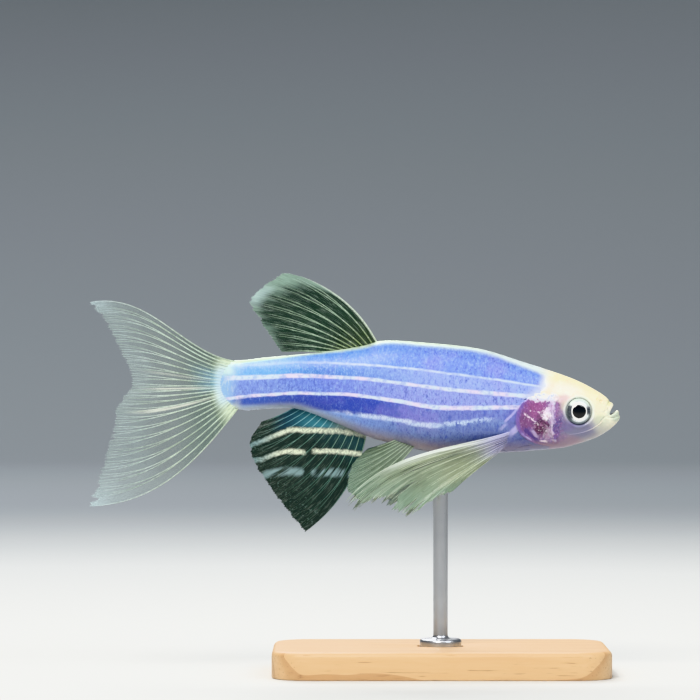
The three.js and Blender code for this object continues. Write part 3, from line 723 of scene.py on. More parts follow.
def flank(made):
    """The side's colours, from sky blue on the back to deep blue and violet below, with the four
    pale lines. Returns the colour, where the point is, its height share, its distance ahead of the
    head's edge, and how strong the lines are."""
    spot = made.noted("spot")
    along, side, up = made.split(spot)
    a, b, c = made.split(made.noted("lines"))
    d, share, ahead = made.split(made.noted("more"))
    flecks = made.noise(spot, 3.6, 3, 0.65, (1.25, 0.6, 0.4))
    specks = made.noise(spot, 6.0, 2, 0.7, (1.2, 0.6, 0.7))
    haze = made.noise(spot, 0.32, 3, 0.6, (1, 0.4, 1))

    # The ground colours between the lines, each in three shades from the tail to the head.
    for above, start, end, rear, middle, fore in (
        (None, 10, 20, (106, 144, 210), (122, 158, 224), (112, 132, 190)),
        (d, 14, 21, (54, 86, 178), (42, 66, 170), (112, 124, 194)),
        (c, 8, 20, (122, 144, 214), (106, 130, 212), (150, 160, 224)),
        (b, 9, 22, (110, 184, 242), (68, 120, 188), (162, 182, 244)),
        (a, 9, 22, (182, 226, 252), (96, 156, 232), (110, 142, 220)),
    ):
        zone = made.mix(made.step(along, start, end), middle, fore)
        zone = made.mix(made.step(along, 9, 4), zone, rear)
        if above is None:
            colour = zone
        else:
            colour = made.mix(made.step(above + flecks * 0.2, -0.02, 0.22), colour, zone)

    # The shimmer and the dark grain of the scales, then the belly, the ridge and the tail's root.
    violet = made.step(haze, 0.5, 0.72) * made.step(along, 6, 16)
    light = made.ease(c, -0.6, 0.4, 0.16, 0.38)
    dark_flecks = made.step(flecks, 0.47, 0.32) * made.ease(along, 10, 22, 0.4, 0.75)
    dark_specks = made.step(specks, 0.53, 0.66) * made.ease(along, 12, 22, 0.5, 0.8)
    below = made.mix(made.step(along, 8, 14), (182, 194, 202), (158, 156, 168))
    breast = made.step(along, 21, 27) * made.step(share, -0.3, -0.7)
    ridge = share + haze * 0.05 + flecks * 0.03 + made.ease(along, 7, 1, 0.0, 0.1)
    ridge = ridge + made.ease(along, 26, 30, 0.0, 0.1)
    ridge_colour = made.mix(made.step(along, 20, 28), (200, 216, 190), (222, 234, 232))
    tail_pale = made.mix(made.step(abs(up + 0.5), 0.9, 1.7), (162, 202, 240), (206, 226, 218))
    tail_pale = made.mix(made.step(flecks, 0.5, 0.64) * 0.5, tail_pale, (214, 226, 226))
    flare = made.step(along + abs(share) * 1.2, 1.9, 2.7) * made.step(along, 2.2, 0.8)
    colour = made.layers(
        colour,
        (violet * 0.3, (166, 146, 222)),
        (made.step(flecks, 0.52, 0.68) * light, (172, 208, 252)),
        (dark_flecks, (70, 92, 184)),
        (dark_specks, (84, 100, 176)),
        (made.step(specks, 0.46, 0.34) * light * light * 2.6, (190, 218, 252)),
        (made.step(share, -0.7, -0.98) * 0.8, below),
        (breast * 0.5, (84, 90, 146)),
        (made.step(ridge, 0.92, 1.04), ridge_colour),
        (made.step(along + haze * 1.2, 2.5, 1.0) * 0.9, tail_pale),
        (flare * 0.8, (226, 232, 212)),
    )

    # The lines waver and wear thin. The lowest is broken, and faint at both ends.
    wave = (made.noise(spot, 1.1, 3) - 0.5) * 0.16
    worn = 0.45 + made.step(made.noise(spot, 2.2, 3, 0.65, (0.8, 1, 1)), 0.34, 0.56) * 0.55
    ends = worn * made.step(along, -0.2, 0.9)
    middle_width = made.ease(along, 3, 11, 0.07, 0.0) + made.ease(along, 20, 27, 0.0, 0.04)
    lower_width = made.ease(along, 14, 20, 0.0, 0.06)
    upper = stripe(made, a, 0.07, 0.1, wave, ends * made.ease(along, 7, 14, 0.25, 1.0))
    pale = stripe(made, abs(b) - middle_width, 0.13, 0.1, wave, ends)
    pale = pale.most(stripe(made, abs(c) - lower_width, 0.12, 0.1, wave, ends))
    last = made.step(along, 10.2, 12.0) * made.step(along, 26.8, 25.0) * made.step(haze, 0.3, 0.5)
    patches = made.step(made.noise(spot, 1.5, 3, 0.65), 0.44, 0.52)
    last = last * (1 - made.step(along, 20, 22) * (1 - patches))
    last = last * (0.35 + made.step(specks, 0.42, 0.54) * 0.55)
    lowest = stripe(made, d, 0.13, 0.22, wave * 2.5, last)
    colour = made.mix(lowest, colour, (206, 228, 250))
    pale = pale.most(lowest * 0.35)

    # The violet shade and the pale straps behind the gill cover, then the lines and the nape.
    bent_spot = (along + haze * 0.7 - 0.35, side, up + flecks * 0.3 - 0.15)
    colour = dabs(made, colour, patch, bent_spot, ((27.7, -1.5), (0.55, 1.0), (108, 106, 178), 0.6))
    colour = dabs(
        made, colour, stroke, bent_spot,
        ((28.25, -0.2), (27.0, -1.75), 0.16, (200, 194, 238), 0.6),
        ((27.7, -2.85), (28.4, -1.95), 0.42, (200, 194, 238), 0.85),
        ((26.6, -2.5), (27.2, -1.9), 0.22, (200, 194, 238), 0.4),
    )
    blush = made.mix(made.step(made.noise(spot, 0.6, 2), 0.4, 0.62), (238, 228, 250), (226, 240, 254))
    nape = made.step(ahead + haze * 0.9, -0.6, 0.7) * made.step(up, 0.3, 1.0)
    nape_colour = made.mix(made.step(up, 1.5, 2.7), (206, 214, 240), (240, 238, 220))
    colour = made.layers(colour, (pale, blush), (upper, (218, 234, 254)), (nape, nape_colour))
    return colour, (along, side, up), share, ahead, pale.most(upper)


# The skin's finish: pearly blue and violet flanks, a cream head, and the red of the gills showing
# through the thin gill cover.
FLESH_GLOW = (0.0006, 0.0004, 0.0003)  # m that red, green and blue light goes through the flesh
hide = Finish("fish_skin")
flank_colour, spot, share, ahead, _ = flank(hide)
along, side, up = spot
where = hide.noted("spot")
haze = hide.noise(where, 0.8, 3, 0.6)
fine = hide.noise(where, 5.0, 3, 0.6)
grains = hide.noise(where, 4.2, 3, 0.6)
eye_away, lip_away, in_mouth = hide.split(hide.noted("face"))
drift = hide.split(hide.vector("SUBTRACT", hide.noise(where, 1.5, 3, 0.6, out=1), (0.5, 0.5, 0.5)))
stray = (along + drift[0] * 1.5, side, up + drift[1] * 1.5)
wavy = (along + drift[0] * 0.5, side, up + drift[1] * 0.5)

# The cream of the head, with its grey, green and violet shades along the jaw and the cheek, a painted
# highlight above and behind the eye, and painted shade at the tip of the snout.
jaw = hide.step(up + along * 0.55 + haze * 0.6, 19.6, 18.5) * hide.step(up, 1.0, 0.2)
head_colour = hide.layers(
    hide.mix(hide.step(up + haze, 0.4, 2.4), (240, 236, 210), (253, 244, 204)),
    # painted highlight: a near-white patch above and behind the eye
    (patch(hide, spot, (32.3, 1.4), (2.0, 1.0)) * 0.8, (252, 247, 234)),
    (hide.step(haze, 0.52, 0.72) * 0.4, (253, 232, 204)),
    (hide.step(haze, 0.46, 0.3) * 0.3, (244, 250, 238)),
    (hide.step(fine, 0.52, 0.72) * 0.35, (218, 214, 198)),
    (jaw, (176, 174, 176)),
)
head_colour = dabs(
    hide, head_colour, patch, spot,
    ((33.9, -2.0), (1.9, 0.95), (112, 112, 148), 0.85),
    ((36.2, -0.95), (0.7, 0.55), (186, 192, 162), 0.6),
    ((32.6, -3.35), (2.2, 0.85), (146, 118, 142), 0.8),
    ((36.9, -1.5), (1.3, 0.9), (204, 206, 190), 0.6),
    ((33.0, -1.3), (0.85, 0.9), (112, 96, 148), 0.6),
    ((37.6, -0.55), (0.5, 0.45), (172, 186, 168), 0.8),
    # painted shade: a darker, greener patch at the tip of the snout, where the surface turns away
    ((37.05, 0.75), (0.45, 0.4), (200, 198, 154), 0.75),
)

# The gill cover: reds and violets of the gills behind it, and the silver that lies over them, with painted
# highlights on it: a white spot, a white streak low down and fine glints.
gill = hide.step(stray[2], 1.1, 0.4) * hide.step(stray[0], 33.3, 31.9)
gill_colour = dabs(
    hide, hide.mix(haze, (96, 74, 140), (128, 92, 160)), patch, stray,
    ((29.9, -0.3), (1.1, 1.0), (146, 84, 136), 0.95),
    ((28.95, -1.5), (0.7, 0.95), (118, 70, 118), 0.9),
    ((30.55, -1.95), (1.0, 1.0), (78, 32, 64), 0.95),
    ((32.1, 0.0), (0.5, 1.1), (160, 122, 160), 0.85),
    ((32.6, -1.6), (1.0, 1.1), (86, 72, 130), 0.9),
    # painted highlight: the bright white spot in the middle of the cover
    ((31.0, -0.75), (0.5, 0.55), (252, 248, 252), 1.0),
    ((31.25, -0.1), (0.35, 0.8), (222, 204, 228), 0.6),
    ((31.5, -1.7), (0.28, 1.1), (196, 184, 210), 0.55),
    ((31.2, -2.7), (0.45, 0.6), (206, 190, 206), 0.5),
    ((30.5, 0.75), (1.1, 0.4), (226, 226, 236), 0.9),
)
threads = hide.noise(hide.join(along + up * 0.35, side, up * 0.45 - along * 0.16), 5.0, 3, 0.6)
# painted highlights: fine white glints scattered over the cover
glints = hide.step(grains, 0.62, 0.69) * patch(hide, spot, (30.6, -0.6), (2.0, 2.4))
gill_colour = hide.layers(
    gill_colour,
    (hide.step(threads, 0.55, 0.7) * 0.38, (214, 176, 210)),
    (hide.step(threads, 0.46, 0.34) * 0.5, (70, 32, 78)),
    (hide.step(grains, 0.47, 0.4) * 0.45, (150, 88, 136)),
    (glints * 0.7, (250, 240, 250)),
)
gill_colour = dabs(
    hide, gill_colour, stroke, wavy,
    ((28.85, -2.2), (30.3, -3.35), 0.26, (70, 50, 126), 0.85),
    ((28.6, -2.6), (29.6, -3.35), 0.16, (190, 180, 226), 0.75),
    ((29.6, -2.35), (30.3, -2.95), 0.2, (184, 168, 206), 0.75),
    # painted highlight: a white streak along the cover's lower edge
    ((30.5, -3.3), (31.1, -3.3), 0.13, (248, 238, 248), 0.85),
    ((31.6, -3.1), (32.1, -3.15), 0.15, (206, 194, 214), 0.7),
    ((31.45, 0.6), (31.6, -2.6), 0.14, (214, 200, 224), 0.5),
    ((30.1, -3.75), (32.3, -3.6), 0.2, (96, 84, 116), 0.4),
)

# What lies over both: the cover's crest, its strut, a real suture painted pale as a highlight, its violet
# rim, painted shade along the underside of the head, and the pale ring about the eye, which is partly
# painted light that fills the socket's shade.
crest = patch(hide, stray, (30.2, 0.95), (1.6, 0.42)) * (0.45 + hide.step(grains, 0.5, 0.6) * 0.5)
# the strut's suture, painted as a pale highlight line
strut = stroke(hide, wavy, (28.8, -0.75), (30.3, -1.8), 0.11) * hide.step(threads, 0.3, 0.55)
# painted shade: the underside of the head's front is painted darker
underside_shade = hide.step(share, -0.66, -0.92) * hide.step(along, 34.0, 32.5)
rim_line = hide.step(abs(ahead - 0.22 - drift[0] * 0.4), 0.32, 0.08) * hide.step(up, 0.5, 0.0)
rim_line = rim_line * hide.step(up, -3.85, -3.6)
# partly the pale ring about the eye, partly painted light that fills the shade of the socket's hollow
around_eye = hide.step(eye_away, 1.7, 1.35) * hide.step(up, -1.6, -0.2)
head_colour = hide.layers(
    head_colour,
    (gill, gill_colour),
    (patch(hide, wavy, (32.45, 0.8), (0.65, 0.5)) * 0.85, (204, 178, 180)),
    (patch(hide, wavy, (32.65, 0.2), (0.5, 0.55)) * 0.7, (196, 186, 170)),
    (crest, (208, 214, 234)),
    (strut * 0.75, (244, 226, 240)),
    (underside_shade * 0.8, (144, 130, 150)),
    (rim_line * 0.7, (116, 92, 168)),
    (around_eye * 0.65, (236, 244, 238)),
)
head_share = hide.step((ahead + haze * 0.2) * hide.ease(up, 0.6, 1.5, 1.0, 0.3), 0.0, 0.34)
lip_colour = hide.mix(hide.step(up, -0.2, 0.2), (188, 196, 180), (240, 234, 218))
# painted shade: the skin in the socket, round the eyeball, is painted near black
in_socket = hide.step(eye_away, 1.22, 1.15) * hide.step(eye_away, 0.0, 0.1)
skin_finish = hide.done(
    Base_Color=hide.layers(
        flank_colour,
        (head_share, head_colour),
        (hide.step(lip_away, 0.32, 0.1) * 0.6, lip_colour),
        # the mouth's red lining, darkened inwards with painted shade
        (hide.step(in_mouth, 0.25, 0.6), (70, 40, 44)),
        (in_socket, (40, 36, 48)),
    ),
    Roughness=0.36 + fine * 0.12,
    Metallic=hide.ease(ahead, -0.2, 0.3, 0.25, 0.04),
    Coat_Weight=0.35,
    Coat_Roughness=0.12,
    Subsurface_Weight=0.08,
    Subsurface_Radius=FLESH_GLOW,
    Normal=hide.bump(fine, 0.02, 0.5),
)
dress(skin, skin_finish, "body_skin", "head", "trunk", "tail", "gill_cover_left", "gill_cover_right")

# Thin round scales lie over the skin like roof tiles, in rows along the side, each with its free edge
# towards the tail. There are about 28 along the side, as in the living fish.
SCALE_ROWS = 0.84  # mm between rows where the body is deepest
SCALE_PITCH = ((0, 0.8), (12, 1.02), (30, 1.06))  # mm between scales in a row, at these stations
SCALE_LENGTH = 1.85  # times the pitch
SCALE_THICK = 0.03
SCALE_TIP = 0.03  # how far the free edge stands off the skin
SCALE_ROOT = 0.035  # how far the other end lies in it
LENGTH_STRAY = 0.03  # share by which a scale's length strays
EDGE_STRAY = 0.04  # mm by which its free edge strays to the side
LIFT_STRAY = 0.01  # mm by which it strays outwards
FIRST_SCALE = 0.9
LAST_SCALE = 31
MOST_ROWS = 10  # above mid-side and below it
BODY_DEPTH = 10.3
GIRTH_STATIONS = np.linspace(-0.3, 33, 168)
GIRTH_SHARES = np.linspace(0, 1, 65)
SIDES = (("left", 1), ("right", -1))
rng = np.random.default_rng(11)


def girths(sign):
    """At each station, the distance round the body from mid-side to its back or belly, and the
    angles at equal shares of that distance."""
    turn = np.linspace(0, np.pi / 2, 91)
    ring = skin_at(GIRTH_STATIONS[:, None], sign * turn[None])
    steps = np.linalg.norm(np.diff(ring, axis=1), axis=-1)
    run = np.concatenate([np.zeros((len(ring), 1)), np.cumsum(steps, axis=1)], axis=1)
    return run[:, -1], np.array([np.interp(GIRTH_SHARES, row / row[-1], turn) for row in run])


girth_up, angles_up = girths(1)
girth_down, angles_down = girths(-1)


def half_girths(x):
    """The distance round the body at station x from mid-side to its back, and to its belly."""
    return [np.interp(x, GIRTH_STATIONS, girth) for girth in (girth_up, girth_down)]


def round_body(x, g):
    """The angle at a distance g round the body from mid-side, up or down, and -1 where it passes the
    middle of the back or the belly onto the other side."""
    share = np.abs(g) / np.where(g > 0, *half_girths(x))
    over = share > 1
    share = np.where(over, 2 - share, share).clip(0, 1)
    i = (x - GIRTH_STATIONS[0]) / (GIRTH_STATIONS[1] - GIRTH_STATIONS[0])
    i = i.clip(0, len(GIRTH_STATIONS) - 1.001)
    j = (share * (len(GIRTH_SHARES) - 1)).clip(0, len(GIRTH_SHARES) - 1.001)
    low_i, low_j = i.astype(int), j.astype(int)
    i, j = i - low_i, j - low_j
    angle = np.zeros_like(share)
    for table, chosen, sign in ((angles_up, g > 0, 1), (angles_down, g <= 0, -1)):
        rear = table[low_i, low_j] * (1 - j) + table[low_i, low_j + 1] * j
        fore = table[low_i + 1, low_j] * (1 - j) + table[low_i + 1, low_j + 1] * j
        angle += np.where(chosen, sign * (rear * (1 - i) + fore * i), 0)
    return angle, np.where(over, -1.0, 1.0)


def scale_places(side):
    """Where each scale's middle goes: station, distance round the body, pitch and row spacing there. The rows
    along the middle of back and belly belong to the right side."""
    columns = [FIRST_SCALE]
    while columns[-1] < LAST_SCALE:
        columns.append(columns[-1] + np.interp(columns[-1], *zip(*SCALE_PITCH)))
    x = np.array(columns)
    pitch = np.interp(x, *zip(*SCALE_PITCH))
    depth = through(BACK, x) - through(BELLY, x)
    spacing = SCALE_ROWS * (0.55 + 0.45 * depth / BODY_DEPTH)
    rows = np.arange(-MOST_ROWS, MOST_ROWS + 1)[:, None]
    x = x + pitch / 2 * (rows % 2)
    g = rows * spacing
    up, down = half_girths(x)
    kept = (g < up - 0.5 * spacing) & (g > -down + 0.5 * spacing)
    places = [np.stack([x, g, pitch + 0 * g, spacing + 0 * g], -1)[kept]]
    if side < 0:
        for ridge in (up[0], -down[0]):
            places.append(np.column_stack([x[0], ridge, pitch, spacing]))
    places = np.concatenate(places)
    angle, _ = round_body(places[:, 0], places[:, 1])
    z = skin_at(places[:, 0], angle)[:, 2]
    return places[places[:, 0] < coat_line(z) - 0.1]


def scale_coat(name, side):
    """All the scales of one side. Along a scale a goes from its root to its free edge, and b from -1
    to 1 across it. The way back from its root is its length times a, times one less half of b's size
    to the power 2.2. The way from its middle round the body is its half width times b, times 0.86
    plus 0.14 of the sine of a quarter turn times a."""
    places = scale_places(side)
    a, b = np.meshgrid(np.linspace(0, 1, 6), np.linspace(-1, 1, 7), indexing="ij")
    x_mid, g_mid, pitch, spacing = (places[:, k, None, None] for k in range(4))
    stray = rng.uniform(-1, 1, (len(places), 3))
    longer, aside, outward = (stray[:, k, None, None] for k in range(3))
    length = pitch * SCALE_LENGTH * (1 + LENGTH_STRAY * longer)
    half = spacing * 0.98
    x = x_mid + length * 0.45 - length * a * (1 - 0.5 * np.abs(b) ** 2.2)
    g = g_mid + half * b * (0.86 + 0.14 * np.sin(np.pi * a / 2)) + EDGE_STRAY * aside * a
    angle, over = round_body(x, g)
    lift = -SCALE_ROOT + (SCALE_TIP + SCALE_ROOT) * a**1.2 + LIFT_STRAY * outward * a
    border = (np.abs(b) == 1) | (a == 0) | (a == 1)
    mirror = np.stack([np.ones_like(x), side * over, np.ones_like(x)], -1)
    outer, inner = (flesh(x, angle, lift + sign * SCALE_THICK / 2 * ~border) * mirror for sign in (1, -1))
    on_skin = flesh(x, angle) * mirror
    own = np.stack([a + 0 * x, b + 0 * x, (longer + 1) / 2 + 0 * x], -1)

    def both(of_outer, of_inner):
        """The outer face's points, then those of the inner face that aren't on the shared border."""
        kept = [of_outer[:, border], of_outer[:, ~border], of_inner[:, ~border]]
        return np.concatenate(kept, axis=1).reshape(-1, of_outer.shape[-1])

    edge_count, middle_count = border.sum(), (~border).sum()
    number = np.empty((2, *border.shape), int)
    number[:, border] = np.arange(edge_count)
    number[:, ~border] = edge_count + np.arange(2 * middle_count).reshape(2, -1)
    plain_faces = lattice(*border.shape)
    shape = np.concatenate([number[0].ravel()[plain_faces], number[1].ravel()[plain_faces[:, ::-1]]])
    each = edge_count + 2 * middle_count
    quads = (shape + (np.arange(len(places)) * each)[:, None, None]).reshape(-1, 4)
    coat = mesh_piece(name, in_row(both(outer, inner)), quads)
    note_marks(coat, both(on_skin, on_skin))
    note(coat, "scale", both(own, own))
    # A map to bake the coat's colour by: a small tile for each scale, laid out as on the fish, with the
    # left side above and the right side below.
    at_u = (x_mid + 2) / 36 + 0.003 * (a - 0.5)
    share = (g_mid / np.where(g_mid > 0, *half_girths(x_mid))).clip(-1, 1)
    at_v = 0.5 + 0.25 * side + 0.22 * share + 0.0015 * b
    unwrapped = np.stack([at_u + 0 * x, at_v + 0 * x], -1)
    spread = both(unwrapped, unwrapped)
    corner = np.empty(len(coat.data.loops), np.int32)
    coat.data.loops.foreach_get("vertex_index", corner)
    coat.data.uv_layers.new(name="OFBake").data.foreach_set("uv", spread[corner].astype(np.float32).ravel())
    return coat


horn = Finish("scales")
flank_colour, *_, pale = flank(horn)
from_root, across, chance = horn.split(horn.noted("scale"))
bare_edge = horn.step(from_root, 0.86, 1.0)
shadow = horn.step(from_root, 0.7, 0.45)
ribs = horn.noise(horn.join(across * 9.0, from_root * 1.5, chance * 7.0), 1.0, 2)
horn_finish = horn.done(
    Base_Color=horn.layers(
        flank_colour,
        (bare_edge * (1 - pale) * 0.03, (206, 224, 250)),
        (shadow * (1 - pale) * 0.07, (70, 84, 170)),
        (chance * 0.03, (150, 136, 220)),
    ),
    Metallic=0.2,
    Roughness=0.38 + ribs * 0.16,
    Coat_Weight=0.25,
    Coat_Roughness=0.16,
    Normal=horn.bump(ribs, 0.02, 0.5),
)
for name, side in SIDES:
    dress(scale_coat(f"scales_{name}", side), horn_finish, "body_skin")

# Each eye is a low dome of clear cornea over a silver iris, with the black lens standing out of it. It
# sits in its socket, turned a little forward.
EYE_LOOK = 0.62  # mm from the socket's plane to the front
EYE_SINK = 0.55  # mm that its back lies behind that plane
PUPIL = 0.64
LENS_RISE = 0.1
across_eye = np.concatenate([
    np.linspace(0, PUPIL, 10, endpoint=False), np.linspace(PUPIL, 1.1, 14, endpoint=False),
    EYE_RADIUS * np.sin(np.radians(np.linspace(60, 90, 14))),
])[1:]
dome = (EYE_LOOK - 0.06) * np.sqrt(1 - (across_eye / EYE_RADIUS).clip(0, 1) ** 4)
lens = LENS_RISE * np.sqrt((1 - (across_eye / (PUPIL * 1.04)) ** 2).clip(0, 1))
behind = EYE_RADIUS * np.cos(np.radians(np.linspace(8, 82, 12)))
depths = -EYE_SINK * np.sqrt(1 - (behind / EYE_RADIUS) ** 2)
eye_profile = np.concatenate([np.column_stack([across_eye, dome + lens]), np.column_stack([behind, depths])])
eye_points, *eye_faces = closed(spin(eye_profile, 72), [0, 0, EYE_LOOK + 0.04], [0, 0, -EYE_SINK])

iris = Finish("eyeball")
forward, upward, _ = iris.split(iris.noted("dial"))
radius = (forward * forward + upward * upward) ** 0.5
aslant = upward.calculate("ARCTAN2", upward, forward)
spokes = iris.noise(iris.join(aslant * 6.0, radius * 2.5), 1.6, 3, 0.6)
steep = abs(upward - forward * 0.14) / (radius + 0.01)
narrow = iris.step(forward, -0.2, 0.5) * 0.28
wedge = iris.step(steep + narrow, 0.86, 0.52) * iris.step(radius, 1.22, 1.1)
wedge_colour = iris.mix(iris.step(spokes, 0.3, 0.7), (44, 50, 56), (92, 98, 104))
shaded = iris.step(radius, 0.98, 1.05) * iris.step(upward, 0.5, -0.6)
ring_edge = steep * steep * 0.17 + 0.75
ring = iris.step(radius - ring_edge, 0.03, -0.02) * iris.step(radius, PUPIL, PUPIL + 0.03)
lid = iris.step(radius, 0.98, 1.06) * iris.step(upward, 0.45, 0.75)
lid_line = iris.step(abs(radius - 0.99), 0.07, 0.02) * iris.step(upward, 0.45, 0.75)
# painted shade: a dark outline at the eye's rim, for the gap to the socket, strongest below
edge = iris.step(radius, 1.16, 1.24)
pupil = iris.step(radius, PUPIL + 0.03, PUPIL - 0.01)
eye_glass = iris.done(
    Base_Color=iris.layers(
        iris.mix(iris.step(spokes, 0.3, 0.6), (196, 202, 206), (244, 248, 244)),
        (iris.step(upward, -0.2, -1.0) * 0.35, (176, 186, 205)),
        (shaded, (146, 158, 156)),
        (wedge, wedge_colour),
        (ring, (244, 244, 240)),
        (lid * 0.7, (206, 220, 208)),
        (lid_line * 0.6, (112, 130, 124)),
        (edge * iris.ease(upward, 0.3, 1.1, 0.7, 0.15), (88, 92, 98)),
        (pupil, (6, 7, 10)),
    ),
    Metallic=0.2 - pupil * 0.2,
    Roughness=0.34 - pupil * 0.22,
    Coat_Weight=0.7,
    Coat_Roughness=0.03,
    Coat_IOR=1.38,
)
for name, side in SIDES:
    ahead = [math.cos(EYE_TILT), -side * math.sin(EYE_TILT), 0]
    look = [math.sin(EYE_TILT), side * math.cos(EYE_TILT), 0]
    placed = eye_points @ np.array([ahead, [0, 0, 1], look]) + EYE_CENTRE * [1, side, 1]
    eye = mesh_piece(f"eyeball_{name}", in_row(placed), *eye_faces)
    note(eye, "dial", eye_points)
    dress(eye, eye_glass, "eye", f"eye_{name}")

# The barbels are soft feelers, thin as hairs: one pair beside the upper lip, and a longer pair that
# trails back from the corners of the mouth.
BARBELS = {
    "rostral_barbel": [[36.75, 0.28, -0.06], [36.62, 0.12, 0.3], [36.25, -0.12, 0.46], [35.6, -0.2, 0.4]],
    "maxillary_barbel": [[36.35, -0.95, -0.06], [36.0, -1.35, 0.34], [35.2, -1.9, 0.52], [34.2, -2.3, 0.5],
                         [33.2, -2.5, 0.44]],
}  # x, z and how far out from the cheek
BARBEL_RADII = (0.055, 0.016)


def strands(paths, wide, thick, across, sides):
    """Tapering closed threads, one along each path, as points, faces and end caps. Each ring is an
    ellipse about the path: wide is its half width, and thick the half width along the direction
    across."""
    count, steps = paths.shape[:2]
    run = unit(np.gradient(paths, axis=1))
    up = unit(across - np.sum(across * run, axis=-1, keepdims=True) * run)
    beside = np.cross(run, up)
    turn = np.linspace(0, 2 * np.pi, sides, endpoint=False)[:, None]
    wide_ring = (wide[..., None, None] * np.cos(turn)) * beside[:, :, None]
    thick_ring = (thick[..., None, None] * np.sin(turn)) * up[:, :, None]
    rings = paths[:, :, None] + wide_ring + thick_ring
    body = count * steps * sides
    firsts = np.arange(count) * steps * sides
    quads = (lattice(steps, sides, wrap=True) + firsts[:, None, None]).reshape(-1, 4)
    ring = np.arange(sides)
    starts = np.stack([ring[::-1], np.roll(ring[::-1], -1)], -1) + firsts[:, None, None]
    ends = np.stack([ring, np.roll(ring, -1)], -1) + (firsts + (steps - 1) * sides)[:, None, None]
    poles = np.concatenate([body + np.arange(count), body + count + np.arange(count)])
    caps = np.concatenate([starts, ends])
    caps = np.concatenate([caps, np.repeat(poles[:, None, None], sides, axis=1)], -1).reshape(-1, 3)
    points = np.concatenate([rings.reshape(-1, 3), paths[:, 0], paths[:, -1]])
    return points, quads, caps


def knotted(knots, u):
    """The smooth curve through points at equal steps, or through [u, x, y, z] rows, at each u."""
    knots = np.array(knots, float)
    if knots.shape[1] == 3:
        knots = np.column_stack([np.linspace(0, 1, len(knots)), knots])
    return np.stack([through(knots[:, [0, k]], u) for k in (1, 2, 3)], -1)


feeler = Finish("barbel_skin")
forward = feeler.split(feeler.place())[0]
feeler_skin = feeler.done(
    Base_Color=feeler.mix(feeler.step(forward, 13.4, 15.2), (142, 140, 166), (206, 200, 182)),
    Roughness=0.4,
    Subsurface_Weight=0.15,
    Subsurface_Radius=FLESH_GLOW,
    Coat_Weight=0.3,
)
for kind, knots in BARBELS.items():
    for name, side in SIDES:
        share = np.linspace(0, 1, 30)
        x, z, out = knotted(knots, share).T
        path = np.column_stack([x, side * (side_at(x, z) + out), z])
        radius = blend(*BARBEL_RADII, share[None] ** 1.3)
        points, *faces = strands(path[None], radius, radius, np.array([0, 0, 1.0]), 10)
        thread = mesh_piece(f"{kind}_thread_{name}", in_row(points), *faces)
        dress(thread, feeler_skin, "barbel", f"{kind}_{name}")

# Each fin is a clear skin stretched over soft rays, which start in the flesh and split in two, twice,
# on their way to the margin. Both are laid out on one bent surface, by the share u from the leading
# edge to the last ray and the share t from the root to the margin.
ROOT_DEPTH = 0.45  # mm that the rays reach into the flesh
FIN_WORN = 0.035  # share of its length by which the usual fin's rays differ
WEB_THICK = (0.06, 0.03)  # mm, at the root and from half way out
WEB_COLUMNS = 8  # of faces between two rays
RAY_SPLITS = (0.42, 0.7)  # the shares of its length where the usual ray splits
RAY_FLAT = 0.75  # a ray's thickness by its width
RAY_SIDES = 6
RAY_STEPS = 13  # from one split to the next
STEM_STEPS = 32  # along a ray that doesn't split
SPLIT_NARROWER = 0.82  # a branch's width by that of its stem


class Fan:
    """A fin's middle surface. A ray is a cubic curve from root to margin that bows towards the leading edge,
    at a third and two thirds of its length, by the shares in bow; sway moves it along the plane's normal."""

    def __init__(self, root, margin, bow, rays, sway, plane=(0.0, 1.0, 0.0), worn=FIN_WORN):
        self.root = root
        self.margin = margin
        self.bow = bow
        self.rays = rays
        self.plane = np.array(plane) / np.linalg.norm(plane)
        self.sway = sway
        self.length = 1 - worn * rng.random(4 * rays - 3)
        self.nicks = rng.random(4 * rays - 3) ** 5 * worn / FIN_WORN

    def at(self, u, t):
        u, t = np.broadcast_arrays(np.asarray(u, float), np.asarray(t, float))
        start = self.root(u)
        chord = self.margin(u) - start
        forward = np.cross(chord, self.plane)
        size = np.linalg.norm(chord, axis=-1, keepdims=True)
        forward *= size / np.linalg.norm(forward, axis=-1, keepdims=True)
        lead = self.root(np.array(0.0)) - self.root(np.array(1.0))
        forward *= np.sign(np.sum(forward * lead, axis=-1, keepdims=True))
        early, late = self.bow(u)
        lift = 3 * (1 - t) ** 2 * t * early + 3 * (1 - t) * t**2 * late
        moved = start + chord * t[..., None] + forward * lift[..., None]
        return moved + self.plane * self.sway(u, t)[..., None]

    def reach(self, u):
        """The share of its length at which the fin ends; some rays stop a little short."""
        return np.interp(u, np.linspace(0, 1, len(self.length)), self.length)

    def normal(self, u, t):
        step = 1e-3
        across = self.at(u + step, t) - self.at(u - step, t)
        return unit(np.cross(across, self.at(u, t + step) - self.at(u, t - step)))


